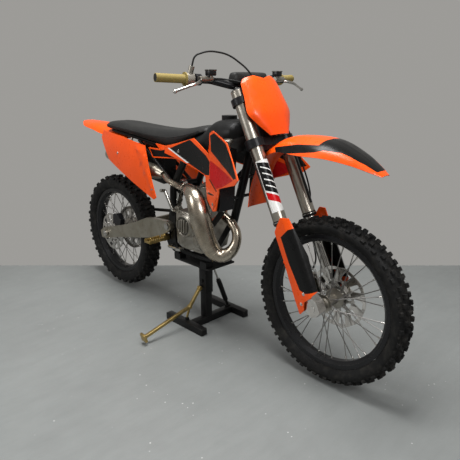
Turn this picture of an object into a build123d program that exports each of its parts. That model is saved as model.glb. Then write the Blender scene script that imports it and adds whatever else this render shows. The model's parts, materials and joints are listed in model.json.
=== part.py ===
from build123d import *
import math
import os

# Motocross bike held up by a paddock lift stand.
# Millimetres. +X is forward, +Y is left, +Z is up. The origin lies on the floor, under the middle
# of the whole object's box. Places along the bike are given as distances ahead of the rear axle.

# ---- driving dimensions ----
WHEELBASE = 1480.0
FRONT_TYRE_R = 344.5
REAR_TYRE_R = 331.0
FLOOR_GAP = 12.0            # both tyres hang this far above the floor
RAKE = 26.1                 # degrees
AXLE_AHEAD = 54.0           # front axle ahead of the steering axis, square to it
CLAMP_AHEAD = 22.0          # fork centres ahead of the steering axis
FORK_HALF = 93.0            # each fork leg from the middle plane
RUN_GAP = 0.3               # running clearance of turning fits

FRONT_TYRE_HALF = 45.0
REAR_TYRE_HALF = 52.0
LUG_HEIGHT = 13.0
TYRE_ROWS = 32
FRONT_BEAD_R = 268.0
REAR_BEAD_R = 243.0
RIM_DEPTH = 22.0
RIM_WALL = 5.0
FRONT_RIM_HALF = 24.0
REAR_RIM_HALF = 33.0
SPOKE_R = 2.0
SPOKE_PAIRS = 9

FRONT_AXLE_R = 13.0
REAR_AXLE_R = 12.5
FRONT_DISC_R = 130.0
FRONT_DISC_Y = 57.0
REAR_DISC_R = 110.0
REAR_DISC_Y = -68.0
DISC_THICK = 3.5
DISC_ROOM = 5.0             # caliper stands this far off the disc

CHAIN_Y = 66.0
CHAIN_PITCH = 15.875
SPROCKET_TEETH = 48
FRONT_SPROCKET_TEETH = 13
ROLLER_R = 5.0
CHAIN_HALF = 8.0
CHAIN_PLATE = 1.6
CHAIN_TALL = 7.0
SPROCKET_THICK = 6.0

PIVOT_X = 590.0             # swingarm pivot
PIVOT_Z = 505.0
ARM_INNER = 88.0            # inner faces of the swingarm blades
ARM_WIDE = 24.0

FORK_TOP = 905.0            # heights along the steering axis, from the foot of its normal to the axle
UPPER_CLAMP = 860.0
LOWER_CLAMP = 682.0
CLAMP_TALL = 34.0
SLIDER_END = 363.0
OUTER_TUBE_R = 28.0
INNER_TUBE_R = 24.0
HEAD_TUBE_R = 29.0
STEM_R = 17.0
BAR_R = 14.3
GRIP_R = 16.5

CRADLE_TUBE_R = 13.0
DOWN_TUBE_R = 19.0
BACKBONE_R = 17.0
CRADLE_Y = 66.0
CRADLE_Z = 380.0

STAND_TUBE = 36.0
STAND_NEAR_Y = -111.0
STAND_FAR_Y = 181.0
STAND_BACK_X = 573.0
STAND_FRONT_X = 850.0
STAND_POST_X = 744.0
STAND_TOP_Z = 340.0

REAR_X = -(WHEELBASE + FRONT_TYRE_R - REAR_TYRE_R) / 2
REAR_Z = REAR_TYRE_R + FLOOR_GAP
FRONT_X = REAR_X + WHEELBASE
FRONT_Z = FRONT_TYRE_R + FLOOR_GAP
HEAD_SHIFT = WHEELBASE - 1480.0   # the front of the chassis goes with the front axle

SIN_RAKE = math.sin(math.radians(RAKE))
COS_RAKE = math.cos(math.radians(RAKE))
STEER_UP = Vector(-SIN_RAKE, 0, COS_RAKE)
STEER_AHEAD = Vector(COS_RAKE, 0, SIN_RAKE)
STEER_FOOT = Vector(FRONT_X, 0, FRONT_Z) - STEER_AHEAD * AXLE_AHEAD
STEER = Plane(origin=STEER_FOOT, x_dir=STEER_AHEAD, z_dir=STEER_UP)

parts = {}


def at(x, y, z):
    """A point so far ahead of the rear axle, left of the middle and above the floor."""
    return Vector(REAR_X + x, y, z)


def fore(x, y, z):
    """As at(), for what moves with the steering head when the wheelbase changes."""
    return Vector(REAR_X + HEAD_SHIFT + x, y, z)


def steer(ahead, y, up):
    """A point in the fork's own frame: ahead of the steering axis, left, and up along it."""
    return STEER.from_local_coords(Vector(ahead, y, up))


def flip(shape):
    """The same shape on the other side of the bike."""
    return shape.mirror(Plane.XZ)


def both(shape):
    """The shape and its mirror image, as one compound of separate solids."""
    return Compound(children=list(shape.solids()) + list(flip(shape).solids()))


def rod(start, end, radius):
    """A round bar from one point to another."""
    run = Vector(*end) - Vector(*start)
    return Solid.make_cylinder(radius, run.length, Plane(origin=start, z_dir=run))


def pipe(points, radius, bend):
    """A round tube along straight runs joined by arcs."""
    path = FilletPolyline(*points, radius=bend)
    section = Plane(origin=path @ 0, z_dir=path % 0) * Circle(radius)
    return sweep(section, path=path).solid()


def slab(points, depth):
    """A flat outline of points, thickened by the vector depth."""
    return Solid.extrude(Face(Wire.make_polygon(points, close=True)), Vector(*depth))


def side_cut(outline, y_from, y_to, place=at):
    """A side-view outline of (x, z) pairs, carried across the bike."""
    return slab([place(x, y_from, z) for x, z in outline], (0, y_to - y_from, 0))


def skin(sections):
    """A solid through closed sections, each a list of points, with straight runs between them."""
    return Solid.make_loft([Wire.make_polygon(points, close=True) for points in sections], ruled=True)


def shell_section(place, x, outer, thick):
    """A thin arch across the bike: outer holds (y, z) pairs from the middle to the left edge."""
    inner = [(y * (1 - thick / max(outer[-1][0], thick * 2)), z - thick) for y, z in outer]
    right_outer = [(-y, z) for y, z in reversed(outer) if y > 0]
    right_inner = [(-y, z) for y, z in inner if y > 0]
    ring = right_outer + outer + list(reversed(inner)) + right_inner
    return [place(x, y, z) for y, z in ring]


def full_section(place, x, half):
    """A closed section across the bike from (y, z) pairs down the left side, top to bottom."""
    right = [(-y, z) for y, z in reversed(half) if y > 0]
    return [place(x, y, z) for y, z in half + right]


def curved_sheet(path, thick, z_from, z_to, lean, place):
    """A standing sheet that follows (x, y) pairs in plan; lean is how far its top stands out."""
    low = [place(x, y, z_from) for x, y in path] + [place(x, y + thick, z_from) for x, y in reversed(path)]
    high = [place(x, y - lean, z_to) for x, y in path]
    high += [place(x, y + thick - lean, z_to) for x, y in reversed(path)]
    return skin([low, high])


def add(name, shape):
    parts[name] = shape


def wheel_ring(centre, profile):
    """A ring about an axle, from (radius, y) pairs."""
    points = [centre + Vector(radius, y, 0) for radius, y in profile]
    face = Face(Wire.make_polygon(points, close=True))
    return revolve(face, Axis(centre, (0, 1, 0)), 360).solid()


# ---- tyres ----
def tyre(centre, tip_r, bead_r, half, seat_half):
    """A knobbly tyre: a ring of flat-faced steps, each with a middle block and two shoulder blocks."""
    carcass_r = tip_r - LUG_HEIGHT
    crown_drop = 12.0
    step = 360.0 / TYRE_ROWS
    axis = Axis(centre, (0, 1, 0))
    flank = half - 6.0
    wall_r = bead_r + 0.55 * (carcass_r - bead_r)
    profile = [
        (bead_r, -seat_half),
        (wall_r, -flank),
        (carcass_r - crown_drop, -flank * 0.86),
        (carcass_r, -flank * 0.4),
        (carcass_r, flank * 0.4),
        (carcass_r - crown_drop, flank * 0.86),
        (wall_r, flank),
        (bead_r, seat_half),
    ]

    def section(angle):
        points = [centre + Vector(0, y, radius / math.cos(math.radians(step / 2))) for radius, y in profile]
        return Wire.make_polygon(points, close=True).rotate(axis, angle)

    carcass = Solid.make_loft([section(-step / 2), section(step / 2)], ruled=True)
    block = 22.0
    sunk = 3.0
    middle = Box(block, half * 0.62, LUG_HEIGHT + sunk)
    middle = Pos(centre + Vector(-block * 0.55, 0, tip_r - (LUG_HEIGHT + sunk) / 2)) * middle
    lug_list = [middle]
    for side in (-1, 1):
        shoulder = Box(block, half * 0.42, LUG_HEIGHT + sunk)
        tilt = Rotation(-side * 24, 0, 0)
        spot = centre + Vector(block * 0.6, side * (half - 13.5), tip_r - 16.5)
        lug_list.append(Pos(spot) * tilt * shoulder)
    piece = carcass.fuse(*[lug.solid() for lug in lug_list])
    copies = [piece.rotate(axis, step * k) for k in range(TYRE_ROWS)]
    return copies[0].fuse(*copies[1:])


def rim(centre, bead_r, half):
    """A spoked wheel's rim: a shallow trough with a flange at each edge."""
    inner = bead_r - RIM_DEPTH
    floor_r = inner + RIM_WALL
    profile = [
        (bead_r + 8, -half),
        (floor_r + 8, -half),
        (inner, -half * 0.45),
        (inner, half * 0.45),
        (floor_r + 8, half),
        (bead_r + 8, half),
        (bead_r + 8, half - RIM_WALL * 0.7),
        (floor_r + 10, half - RIM_WALL),
        (floor_r, half * 0.4),
        (floor_r, -half * 0.4),
        (floor_r + 10, -half + RIM_WALL),
        (bead_r + 8, -half + RIM_WALL * 0.7),
    ]
    return wheel_ring(centre, profile)


def spoked_hub(centre, barrel, flange_r, flange_y, bore_r, rim_r):
    """A hub with its crossed spokes: flange_r and flange_y hold the right and left values."""
    right_y, left_y = flange_y
    right_r, left_r = flange_r
    web = 6.0
    profile = [
        (bore_r, right_y - 14),
        (bore_r + 9, right_y - 14),
        (bore_r + 11, right_y - web),
        (right_r, right_y - web),
        (right_r, right_y),
        (barrel, right_y + 8),
        (barrel, left_y - 8),
        (left_r, left_y),
        (left_r, left_y + web),
        (bore_r + 11, left_y + web),
        (bore_r + 9, left_y + 14),
        (bore_r, left_y + 14),
    ]
    hub = wheel_ring(centre, profile)
    spokes = []
    lap = 3.0
    for side_y, side_r, phase in ((right_y - web / 2, right_r, 0.0), (left_y + web / 2, left_r, 10.0)):
        for k in range(SPOKE_PAIRS):
            for lean in (-1, 1):
                foot = math.radians(phase + 40 * k + lean * 6)
                head = math.radians(phase + 40 * k + lean * 28)
                low_r = side_r - lap
                start = centre + Vector(low_r * math.sin(foot), side_y, low_r * math.cos(foot))
                end = centre + Vector(rim_r * math.sin(head), side_y * 0.15, rim_r * math.cos(head))
                spokes.append(rod(start, end, SPOKE_R))
    return hub.fuse(*spokes)


def disc(centre, y_mid, radius, inner_r):
    """A brake disc with a wavy edge and a spidered middle."""
    waves = 10
    count = waves * 6
    rim_points = []
    for k in range(count):
        angle = 2 * math.pi * k / count
        reach = radius - 3.0 * (1 - math.cos(waves * angle)) / 2
        rim_points.append(centre + Vector(reach * math.cos(angle), y_mid - DISC_THICK / 2, reach * math.sin(angle)))
    plate = slab(rim_points, (0, DISC_THICK, 0))
    middle = rod(centre + Vector(0, y_mid - 9, 0), centre + Vector(0, y_mid + 9, 0), inner_r)
    return plate - middle


FRONT = Vector(FRONT_X, 0, FRONT_Z)
REAR = Vector(REAR_X, 0, REAR_Z)
HUB_GAP = 0.3

add("front_tyre", tyre(FRONT, FRONT_TYRE_R, FRONT_BEAD_R + 8.3, FRONT_TYRE_HALF, FRONT_RIM_HALF - 1))
add("rear_tyre", tyre(REAR, REAR_TYRE_R, REAR_BEAD_R + 8.3, REAR_TYRE_HALF, REAR_RIM_HALF - 1))
add("front_rim", rim(FRONT, FRONT_BEAD_R, FRONT_RIM_HALF))
add("rear_rim", rim(REAR, REAR_BEAD_R, REAR_RIM_HALF))
FRONT_HUB_Y = (-34.0, 34.0)
REAR_HUB_Y = (-44.0, 44.0)
front_spoke_end = FRONT_BEAD_R - RIM_DEPTH + RIM_WALL / 2
rear_spoke_end = REAR_BEAD_R - RIM_DEPTH + RIM_WALL / 2
add("front_hub", spoked_hub(FRONT, 22.0, (36.0, 42.0), FRONT_HUB_Y, FRONT_AXLE_R + RUN_GAP, front_spoke_end))
add("rear_hub", spoked_hub(REAR, 30.0, (58.0, 58.0), REAR_HUB_Y, REAR_AXLE_R + RUN_GAP, rear_spoke_end))


def disc_carrier(centre, y_from, y_to, radius, bore_r):
    ring = [(bore_r, y_from), (radius, y_from), (radius, y_to), (bore_r, y_to)]
    return wheel_ring(centre, ring)


FRONT_CARRIER_R = 66.0
REAR_CARRIER_R = 62.0
front_disc = disc(FRONT, FRONT_DISC_Y, FRONT_DISC_R, FRONT_CARRIER_R)
front_disc = front_disc.fuse(
    disc_carrier(FRONT, FRONT_DISC_Y - 3, FRONT_DISC_Y + 3, FRONT_CARRIER_R, FRONT_AXLE_R + 14),
    disc_carrier(FRONT, FRONT_HUB_Y[1] + 6, FRONT_DISC_Y - 3, 34.0, FRONT_AXLE_R + 14),
)
add("front_disc", front_disc)
rear_disc = disc(REAR, REAR_DISC_Y, REAR_DISC_R, REAR_CARRIER_R)
rear_disc = rear_disc.fuse(
    disc_carrier(REAR, REAR_DISC_Y - 3, REAR_DISC_Y + 3, REAR_CARRIER_R, REAR_AXLE_R + 14),
    disc_carrier(REAR, REAR_DISC_Y + 3, REAR_HUB_Y[0] - 6, 50.0, REAR_AXLE_R + 14),
)
add("rear_disc", rear_disc)


# ---- final drive ----
def pitch_radius(teeth):
    return CHAIN_PITCH / (2 * math.sin(math.pi / teeth))


def sprocket(centre, y_mid, teeth, bore_r):
    """A toothed plate: straight flanks between a root and a tip circle."""
    radius = pitch_radius(teeth)
    root = radius - ROLLER_R - 0.5
    tip = radius + 4.0
    points = []
    for k in range(teeth):
        for share, reach in ((-0.3, root), (-0.12, tip), (0.12, tip), (0.3, root)):
            angle = 2 * math.pi * (k + share) / teeth
            points.append(centre + Vector(reach * math.sin(angle), y_mid - SPROCKET_THICK / 2, reach * math.cos(angle)))
    plate = slab(points, (0, SPROCKET_THICK, 0))
    return plate - rod(centre + Vector(0, y_mid - 20, 0), centre + Vector(0, y_mid + 20, 0), bore_r)


SPROCKET_R = pitch_radius(SPROCKET_TEETH)
FRONT_SPROCKET_R = pitch_radius(FRONT_SPROCKET_TEETH)
rear_sprocket = sprocket(REAR, CHAIN_Y, SPROCKET_TEETH, 46.0)
window_r = 14.0
for k in range(8):
    angle = 2 * math.pi * (k + 0.5) / 8
    spot = REAR + Vector(88 * math.sin(angle), CHAIN_Y - 20, 88 * math.cos(angle))
    rear_sprocket = rear_sprocket - rod(spot, spot + Vector(0, 40, 0), window_r)
rear_sprocket = rear_sprocket.fuse(
    disc_carrier(REAR, REAR_HUB_Y[1] + 6, CHAIN_Y - SPROCKET_THICK / 2, 62.0, 46.0),
)
add("rear_sprocket", rear_sprocket)

DRIVE = at(PIVOT_X + 62, CHAIN_Y, PIVOT_Z + 12)


def chain():
    """Side plates as two bands round both sprockets, with a roller at every pitch between them."""
    rear = REAR + Vector(0, CHAIN_Y, 0)
    span = DRIVE - rear
    lean = math.atan2(span.Z, span.X)
    flare = math.asin((SPROCKET_R - FRONT_SPROCKET_R) / span.length)
    top = lean + math.pi / 2 - flare
    low = lean - math.pi / 2 + flare

    def rim_point(centre, radius, angle):
        return centre + Vector(radius * math.cos(angle), 0, radius * math.sin(angle))

    def loop(offset, y_shift):
        big = SPROCKET_R + offset
        small = FRONT_SPROCKET_R + offset
        shift = Vector(0, y_shift, 0)
        rear_top = rim_point(rear, big, top) + shift
        rear_low = rim_point(rear, big, low) + shift
        front_low = rim_point(DRIVE, small, low) + shift
        front_top = rim_point(DRIVE, small, top) + shift
        edges = [
            Edge.make_three_point_arc(rear_top, rim_point(rear, big, lean + math.pi) + shift, rear_low),
            Edge.make_line(rear_low, front_low),
            Edge.make_three_point_arc(front_low, rim_point(DRIVE, small, lean) + shift, front_top),
            Edge.make_line(front_top, rear_top),
        ]
        return Face(Wire(edges))

    bands = []
    for y_shift in (-CHAIN_HALF, CHAIN_HALF - CHAIN_PLATE):
        outer = Solid.extrude(loop(CHAIN_TALL, y_shift), Vector(0, CHAIN_PLATE, 0))
        bands.append(outer - Solid.extrude(loop(-CHAIN_TALL, y_shift), Vector(0, CHAIN_PLATE, 0)))
    step = 2 * math.pi / SPROCKET_TEETH
    wrap_end = low + 2 * math.pi
    first = math.pi / 2 + step / 2 + step * math.ceil((top - math.pi / 2 - step / 2) / step)
    wrapped = math.floor((wrap_end - first) / step) + 1
    spots = [rim_point(rear, SPROCKET_R, first + step * k) for k in range(wrapped)]
    run = span.length * math.cos(flare)
    nose = (math.pi - 2 * flare) * FRONT_SPROCKET_R
    start = SPROCKET_R * (wrap_end - first - step * (wrapped - 1))
    free = start + 2 * run + nose + SPROCKET_R * (first - top)
    count = round(free / CHAIN_PITCH)
    lower = (rim_point(rear, SPROCKET_R, low), rim_point(DRIVE, FRONT_SPROCKET_R, low))
    upper = (rim_point(DRIVE, FRONT_SPROCKET_R, top), rim_point(rear, SPROCKET_R, top))
    for k in range(1, count):
        s = k * free / count - start
        if s < 0:
            spots.append(rim_point(rear, SPROCKET_R, wrap_end + s / SPROCKET_R))
        elif s < run:
            spots.append(lower[0] + (lower[1] - lower[0]) * (s / run))
        elif s < run + nose:
            spots.append(rim_point(DRIVE, FRONT_SPROCKET_R, low + (s - run) / FRONT_SPROCKET_R))
        elif s < 2 * run + nose:
            spots.append(upper[0] + (upper[1] - upper[0]) * ((s - run - nose) / run))
        else:
            spots.append(rim_point(rear, SPROCKET_R, top + (s - 2 * run - nose) / SPROCKET_R))
    half = CHAIN_HALF - CHAIN_PLATE / 2
    side = ROLLER_R * 0.9
    rollers = []
    for spot in spots:
        corner = spot + Vector(-side / 2, -half, -side / 2)
        rollers.append(Solid.make_box(side, 2 * half, side, Plane(origin=corner)))
    return bands[0].fuse(bands[1], *rollers)


add("chain", chain())

# ---- swingarm and rear axle ----
arm_rise = math.atan2(PIVOT_Z - REAR_Z, PIVOT_X)
ARM = Plane(origin=REAR, x_dir=(math.cos(arm_rise), 0, math.sin(arm_rise)), z_dir=(-math.sin(arm_rise), 0, math.cos(arm_rise)))
ARM_LENGTH = math.hypot(PIVOT_X, PIVOT_Z - REAR_Z)


def arm_slab(outline, y_from, y_to):
    """An outline in the swingarm's own frame: along it from the axle, and up from its centreline."""
    points = [ARM.from_local_coords(Vector(x, y_from, z)) for x, z in outline]
    return slab(points, (0, y_to - y_from, 0))


blade = [
    (-62, -20), (-62, 20), (-20, 34), (180, 34), (330, 42), (440, 56), (520, 44), (ARM_LENGTH - 8, 26),
    (ARM_LENGTH + 20, 8), (ARM_LENGTH + 20, -14), (ARM_LENGTH - 10, -30), (480, -52), (330, -44), (150, -32), (-20, -30),
]
left_blade = arm_slab(blade, ARM_INNER, ARM_INNER + ARM_WIDE)
slot = arm_slab([(-30, -REAR_AXLE_R), (-30, REAR_AXLE_R), (22, REAR_AXLE_R), (22, -REAR_AXLE_R)], ARM_INNER - 1, ARM_INNER + 60)
left_blade = left_blade - slot
swingarm = left_blade.fuse(flip(left_blade))
cross = arm_slab([(372, -38), (372, 34), (440, 50), (452, 46), (452, -46), (430, -46)], -ARM_INNER - 1, ARM_INNER + 1)
swingarm = swingarm.fuse(cross)
pivot_hole = rod(at(PIVOT_X, -150, PIVOT_Z), at(PIVOT_X, 150, PIVOT_Z), 9.0)
swingarm = swingarm - pivot_hole
add("swingarm", swingarm)

AXLE_END = ARM_INNER + ARM_WIDE + 14
axle = rod(REAR + Vector(0, -AXLE_END, 0), REAR + Vector(0, AXLE_END, 0), REAR_AXLE_R - 0.2)
nut_left = rod(REAR + Vector(0, ARM_INNER + ARM_WIDE + 0.5, 0), REAR + Vector(0, AXLE_END - 2, 0), 19)
rear_axle = axle.fuse(nut_left, flip(nut_left))
for side in (-1, 1):
    inner_y = side * (ARM_INNER - 0.3)
    hub_y = REAR_HUB_Y[1] + 14 + RUN_GAP if side > 0 else REAR_HUB_Y[0] - 14 - RUN_GAP
    rear_axle = rear_axle.fuse(rod(REAR + Vector(0, hub_y, 0), REAR + Vector(0, inner_y, 0), 20))
add("rear_axle", rear_axle)

# ---- frame ----
PLATE_IN = 76.0             # pivot plates, inside the swingarm blades
PLATE_OUT = 87.5
CRANK_X = 800.0
CASE_Y = 54.0


def spine(side, radius):
    """One of the two backbone tubes, from the steering head down to a pivot plate."""
    route = [
        steer(-12, side * 12, UPPER_CLAMP - 50),
        fore(960, side * 30, 985),
        at(700, side * 66, 868),
        at(606, side * (PLATE_IN + 5), 700),
        at(600, side * (PLATE_IN + 5), 560),
    ]
    return pipe(route, radius, 60)


def frame():
    """Head tube, down tube, split cradle, twin backbone tubes and the forged pivot plates."""
    head_low = steer(0, 0, LOWER_CLAMP + CLAMP_TALL / 2 + 2)
    head_high = steer(0, 0, UPPER_CLAMP - CLAMP_TALL / 2 - 2)
    bore = rod(steer(0, 0, LOWER_CLAMP - 40), steer(0, 0, UPPER_CLAMP + 60), STEM_R + RUN_GAP)
    neck = rod(head_low, head_high, HEAD_TUBE_R)
    down_top = steer(-8, 0, UPPER_CLAMP - 80)
    down_low = fore(938, 0, 566)
    down = rod(down_top, down_low, DOWN_TUBE_R)
    knuckle = Pos(down_low) * Sphere(DOWN_TUBE_R)
    tubes = [down, knuckle.solid()]
    for side in (-1, 1):
        cradle = [
            fore(934, side * 12, 566),
            at(905, side * 52, 480),
            at(858, side * CRADLE_Y, CRADLE_Z),
            at(640, side * CRADLE_Y, CRADLE_Z),
            at(600, side * (PLATE_IN + 5), CRADLE_Z + 36),
        ]
        tubes.append(pipe(cradle, CRADLE_TUBE_R, 30))
        tubes.append(spine(side, BACKBONE_R))
        plate = [
            (570, 440), (548, 452), (540, 430), (560, 392), (600, 372), (640, 367), (640, 394), (622, 420),
            (616, 460), (622, 540), (624, 620), (590, 620), (572, 560), (566, 505),
        ]
        low_y = PLATE_IN if side > 0 else -PLATE_OUT
        tubes.append(side_cut(plate, low_y, low_y + PLATE_OUT - PLATE_IN))
    cross_low = rod(at(640, -CRADLE_Y, CRADLE_Z), at(640, CRADLE_Y, CRADLE_Z), CRADLE_TUBE_R)
    cross_high = rod(at(606, -78, 712), at(606, 78, 712), 13)
    body = neck.fuse(*tubes, cross_low, cross_high)
    pivot_bore = rod(at(PIVOT_X, -150, PIVOT_Z), at(PIVOT_X, 150, PIVOT_Z), 9.0)
    return body - bore - pivot_bore


add("frame", frame())


def pivot_bolt():
    shaft = rod(at(PIVOT_X, -122, PIVOT_Z), at(PIVOT_X, 122, PIVOT_Z), 8.8)
    nut = rod(at(PIVOT_X, ARM_INNER + ARM_WIDE + 0.3, PIVOT_Z), at(PIVOT_X, 124, PIVOT_Z), 15)
    return shaft.fuse(nut, flip(nut))


add("pivot_bolt", pivot_bolt())


def subframe():
    """Two rails under the seat and two stays down to the backbone."""
    solids = []
    for side in (-1, 1):
        rail = pipe([at(690, side * 46, 880), at(520, side * 52, 885), at(60, side * 58, 938)], 9, 200)
        stay = rod(at(624, side * 58, 676), at(300, side * 55, 902), 9)
        solids += [rail, stay]
    hoop = rod(at(80, -58, 933), at(80, 58, 933), 9)
    body = solids[0].fuse(*solids[1:], hoop)
    body = body - rod(at(606, -78, 712), at(606, 78, 712), 13 + RUN_GAP)
    return body - spine(-1, BACKBONE_R + RUN_GAP) - spine(1, BACKBONE_R + RUN_GAP)


add("subframe", subframe())

# ---- engine ----
case_outline = [
    (632, 432), (650, 402), (800, 402), (842, 430), (858, 490), (846, 560), (838, 590),
    (740, 590), (650, 596), (634, 560),
]
engine_case = side_cut(case_outline, -74, CASE_Y)
magneto_boss = rod(at(CRANK_X - 20, CASE_Y - 1, 500), at(CRANK_X - 20, CASE_Y + 6, 500), 56)
engine_case = engine_case.fuse(magneto_boss)
stay_lug = side_cut([(836, 566), (876.7, 572), (876.7, 587), (838, 590)], -84, -60)
engine_case = engine_case.fuse(stay_lug)
output_shaft = rod(DRIVE - Vector(0, 20, 0), DRIVE + Vector(0, 8, 0), 11)
drive_sprocket = rod(DRIVE - Vector(0, 3, 0), DRIVE + Vector(0, 3, 0), FRONT_SPROCKET_R - 6.8)
engine_case = engine_case.fuse(output_shaft, drive_sprocket)
add("engine_case", engine_case)

CLUTCH = at(716, 0, 532)
clutch_cover = rod(CLUTCH + Vector(0, -74, 0), CLUTCH + Vector(0, -112, 0), 62)
clutch_cover = clutch_cover.fuse(rod(CLUTCH + Vector(0, -112, 0), CLUTCH + Vector(0, -120, 0), 52))
side_cover = side_cut(
    [(640, 440), (656, 418), (790, 418), (832, 446), (846, 500), (836, 560), (780, 585), (640, 600), (636, 560)], -94, -74
)
pump = rod(at(CRANK_X, -94, 470), at(CRANK_X, -112, 470), 28)
magneto_cover = rod(at(CRANK_X - 20, CASE_Y + 6, 500), at(CRANK_X - 20, CASE_Y + 24, 500), 54)
kick_boss = rod(at(648, -74, 598), at(648, -100, 598), 18)
engine_covers = Compound(children=[clutch_cover.fuse(side_cover, pump, kick_boss), magneto_cover])
add("engine_covers", engine_covers)

BORE_X = 790.0
HEAD_Z = 722.0
cylinder = side_cut([(742, 590), (838, 590), (838, 700), (742, 700)], -46, 46)
port_boss = rod(at(830, 0, 655), at(846, 0, 652), 26)
cylinder = cylinder.fuse(port_boss, side_cut([(724, 612), (744, 606), (744, 668), (724, 664)], -34, 34))
add("cylinder", cylinder)
head_block = rod(at(BORE_X, 0, 700), at(BORE_X, 0, HEAD_Z), 56)
head_block = head_block.fuse(rod(at(BORE_X, 0, HEAD_Z), at(BORE_X, 0, HEAD_Z + 14), 36))
spark_plug = rod(at(BORE_X, 0, HEAD_Z + 14), at(BORE_X, 0, HEAD_Z + 54), 10)
add("cylinder_head", head_block.fuse(spark_plug))

INTAKE_Z = 640.0
carburettor = rod(at(724, 0, INTAKE_Z), at(648, 0, INTAKE_Z), 26)
carburettor = carburettor.fuse(rod(at(686, 0, INTAKE_Z - 44), at(686, 0, INTAKE_Z + 62), 23))
add("carburettor", carburettor)
airbox = side_cut([(250, 716), (470, 690), (482, 700), (482, 860), (250, 880)], -36, 38)
boot = pipe([at(470, 16, 752), at(544, 44, 700), at(598, 24, INTAKE_Z), at(636, 0, INTAKE_Z)], 20, 24)
airbox = airbox.fuse(boot, rod(at(628, 0, INTAKE_Z), at(648, 0, INTAKE_Z), 25))
add("airbox", airbox)

# ---- exhaust ----
PIPE_ROUTE = [
    (846.4, 0, 651.9, 21), (862, 0, 649, 21), (892, -30, 634, 20), (930, -47, 610, 20), (978, -52, 588, 20), (1010, -54, 556, 20.5),
    (1020, -62, 512, 22), (1008, -80, 470, 27), (980, -102, 447, 32), (950, -126, 458, 37), (928, -146, 502, 43),
    (910, -163, 578, 47), (892, -168, 650, 47), (862, -162, 700, 42), (806, -146, 722, 31), (748, -124, 722, 22),
    (690, -114, 722, 16), (620, -118, 738, 13), (572, -108, 755, 13),
]


def exhaust():
    """A chamber that swells and narrows round sections set square to its route."""
    rings = []
    for k, (x, y, z, radius) in enumerate(PIPE_ROUTE):
        before = Vector(*PIPE_ROUTE[max(k - 1, 0)][:3])
        after = Vector(*PIPE_ROUTE[min(k + 1, len(PIPE_ROUTE) - 1)][:3])
        rings.append(Wire.make_circle(radius, Plane(origin=at(x, y, z), z_dir=after - before)))
    return Solid.make_loft(rings)


add("exhaust_pipe", exhaust())

SILENCER_NOSE = at(560, -106, 758)
SILENCER_TAIL = at(66, -88, 812)
silencer_way = (SILENCER_TAIL - SILENCER_NOSE).normalized()
SILENCER_R = 34.0
TAIL_BORE_R = 14.0
can_start = SILENCER_NOSE + silencer_way * 60
can = rod(can_start, SILENCER_TAIL, SILENCER_R)
nose_cone = Solid.make_cone(17, SILENCER_R, 60, Plane(origin=SILENCER_NOSE, z_dir=silencer_way))
tail_ring = rod(SILENCER_TAIL, SILENCER_TAIL + silencer_way * 18, 20)
hanger = rod(SILENCER_NOSE + silencer_way * 322, at(240, -58.4, 908.4), 6)
silencer = can.fuse(nose_cone, tail_ring, hanger)
silencer = silencer - rod(SILENCER_TAIL - silencer_way * 60, SILENCER_TAIL + silencer_way * 20, TAIL_BORE_R)
silencer = silencer - rod(SILENCER_NOSE - silencer_way * 30, SILENCER_NOSE + silencer_way * 30, 14)
add("silencer", silencer)

# ---- cooling ----
RADIATOR_LOW = fore(990, 62, 660)
RADIATOR_HIGH = fore(1004, 62, 922)


def radiator():
    """A core between two end tanks."""
    up = (RADIATOR_HIGH - RADIATOR_LOW).normalized()
    ahead = Vector(up.Z, 0, -up.X)
    corner = RADIATOR_LOW - ahead * 16
    tall = (RADIATOR_HIGH - RADIATOR_LOW).length
    core = slab([corner, corner + ahead * 32, corner + ahead * 32 + up * tall, corner + up * tall], (0, 88, 0))
    low_tab = rod(fore(984, DOWN_TUBE_R + RUN_GAP, 702), fore(984, 63, 702), 7)
    high_tab = rod(fore(1005, DOWN_TUBE_R + RUN_GAP, 790), fore(1005, 63, 790), 7)
    return core.fuse(low_tab, high_tab)


add("radiators", both(radiator()))

# ---- tank, seat and bodywork ----
TANK = [
    (690, [(0, 940), (40, 936), (56, 915), (60, 890)]),
    (800, [(0, 975), (56, 968), (78, 940), (84, 880)]),
    (880, [(0, 1030), (52, 1022), (86, 980), (94, 880)]),
    (990, [(0, 1036), (48, 1030), (82, 1000), (88, 950)]),
    (1040, [(0, 1010), (34, 1005), (50, 990), (52, 975)]),
]


def tank():
    sections = [full_section(fore, x, half) for x, half in TANK]
    return skin(sections)


fuel_tank = tank() - spine(-1, BACKBONE_R + 3) - spine(1, BACKBONE_R + 3)
fuel_tank = max(fuel_tank.solids(), key=lambda piece: piece.volume)
SEAT = [
    (14, [(0, 984), (60, 982), (82, 966), (78, 952)]),
    (140, [(0, 982), (66, 980), (92, 960), (88, 944)]),
    (300, [(0, 974), (66, 971), (90, 948), (84, 926)]),
    (460, [(0, 968), (62, 965), (84, 936), (80, 906)]),
    (580, [(0, 970), (58, 966), (78, 934), (74, 900)]),
    (700, [(0, 984), (52, 980), (72, 955), (70, 944)]),
    (827, [(0, 1010), (46, 1006), (64, 990), (62, 984)]),
]


def seat():
    sections = [full_section(at, x, half) for x, half in SEAT]
    return skin(sections)


seat_solid = seat()
TANK_CAP = fore(914, 0, 1030)
tank_cap = rod(TANK_CAP - Vector(0, 0, 10), TANK_CAP + Vector(0, 0, 22), 34)
fuel_tank = fuel_tank - rod(TANK_CAP - Vector(0, 0, 10), TANK_CAP + Vector(0, 0, 40), 34.3)
seat_solid = seat_solid - skin([full_section(fore, x, [(y + (2 if y else 0), z + 2) for y, z in half]) for x, half in TANK])
add("fuel_tank", fuel_tank)
add("tank_cap", tank_cap)
add("seat", seat_solid)

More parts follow.
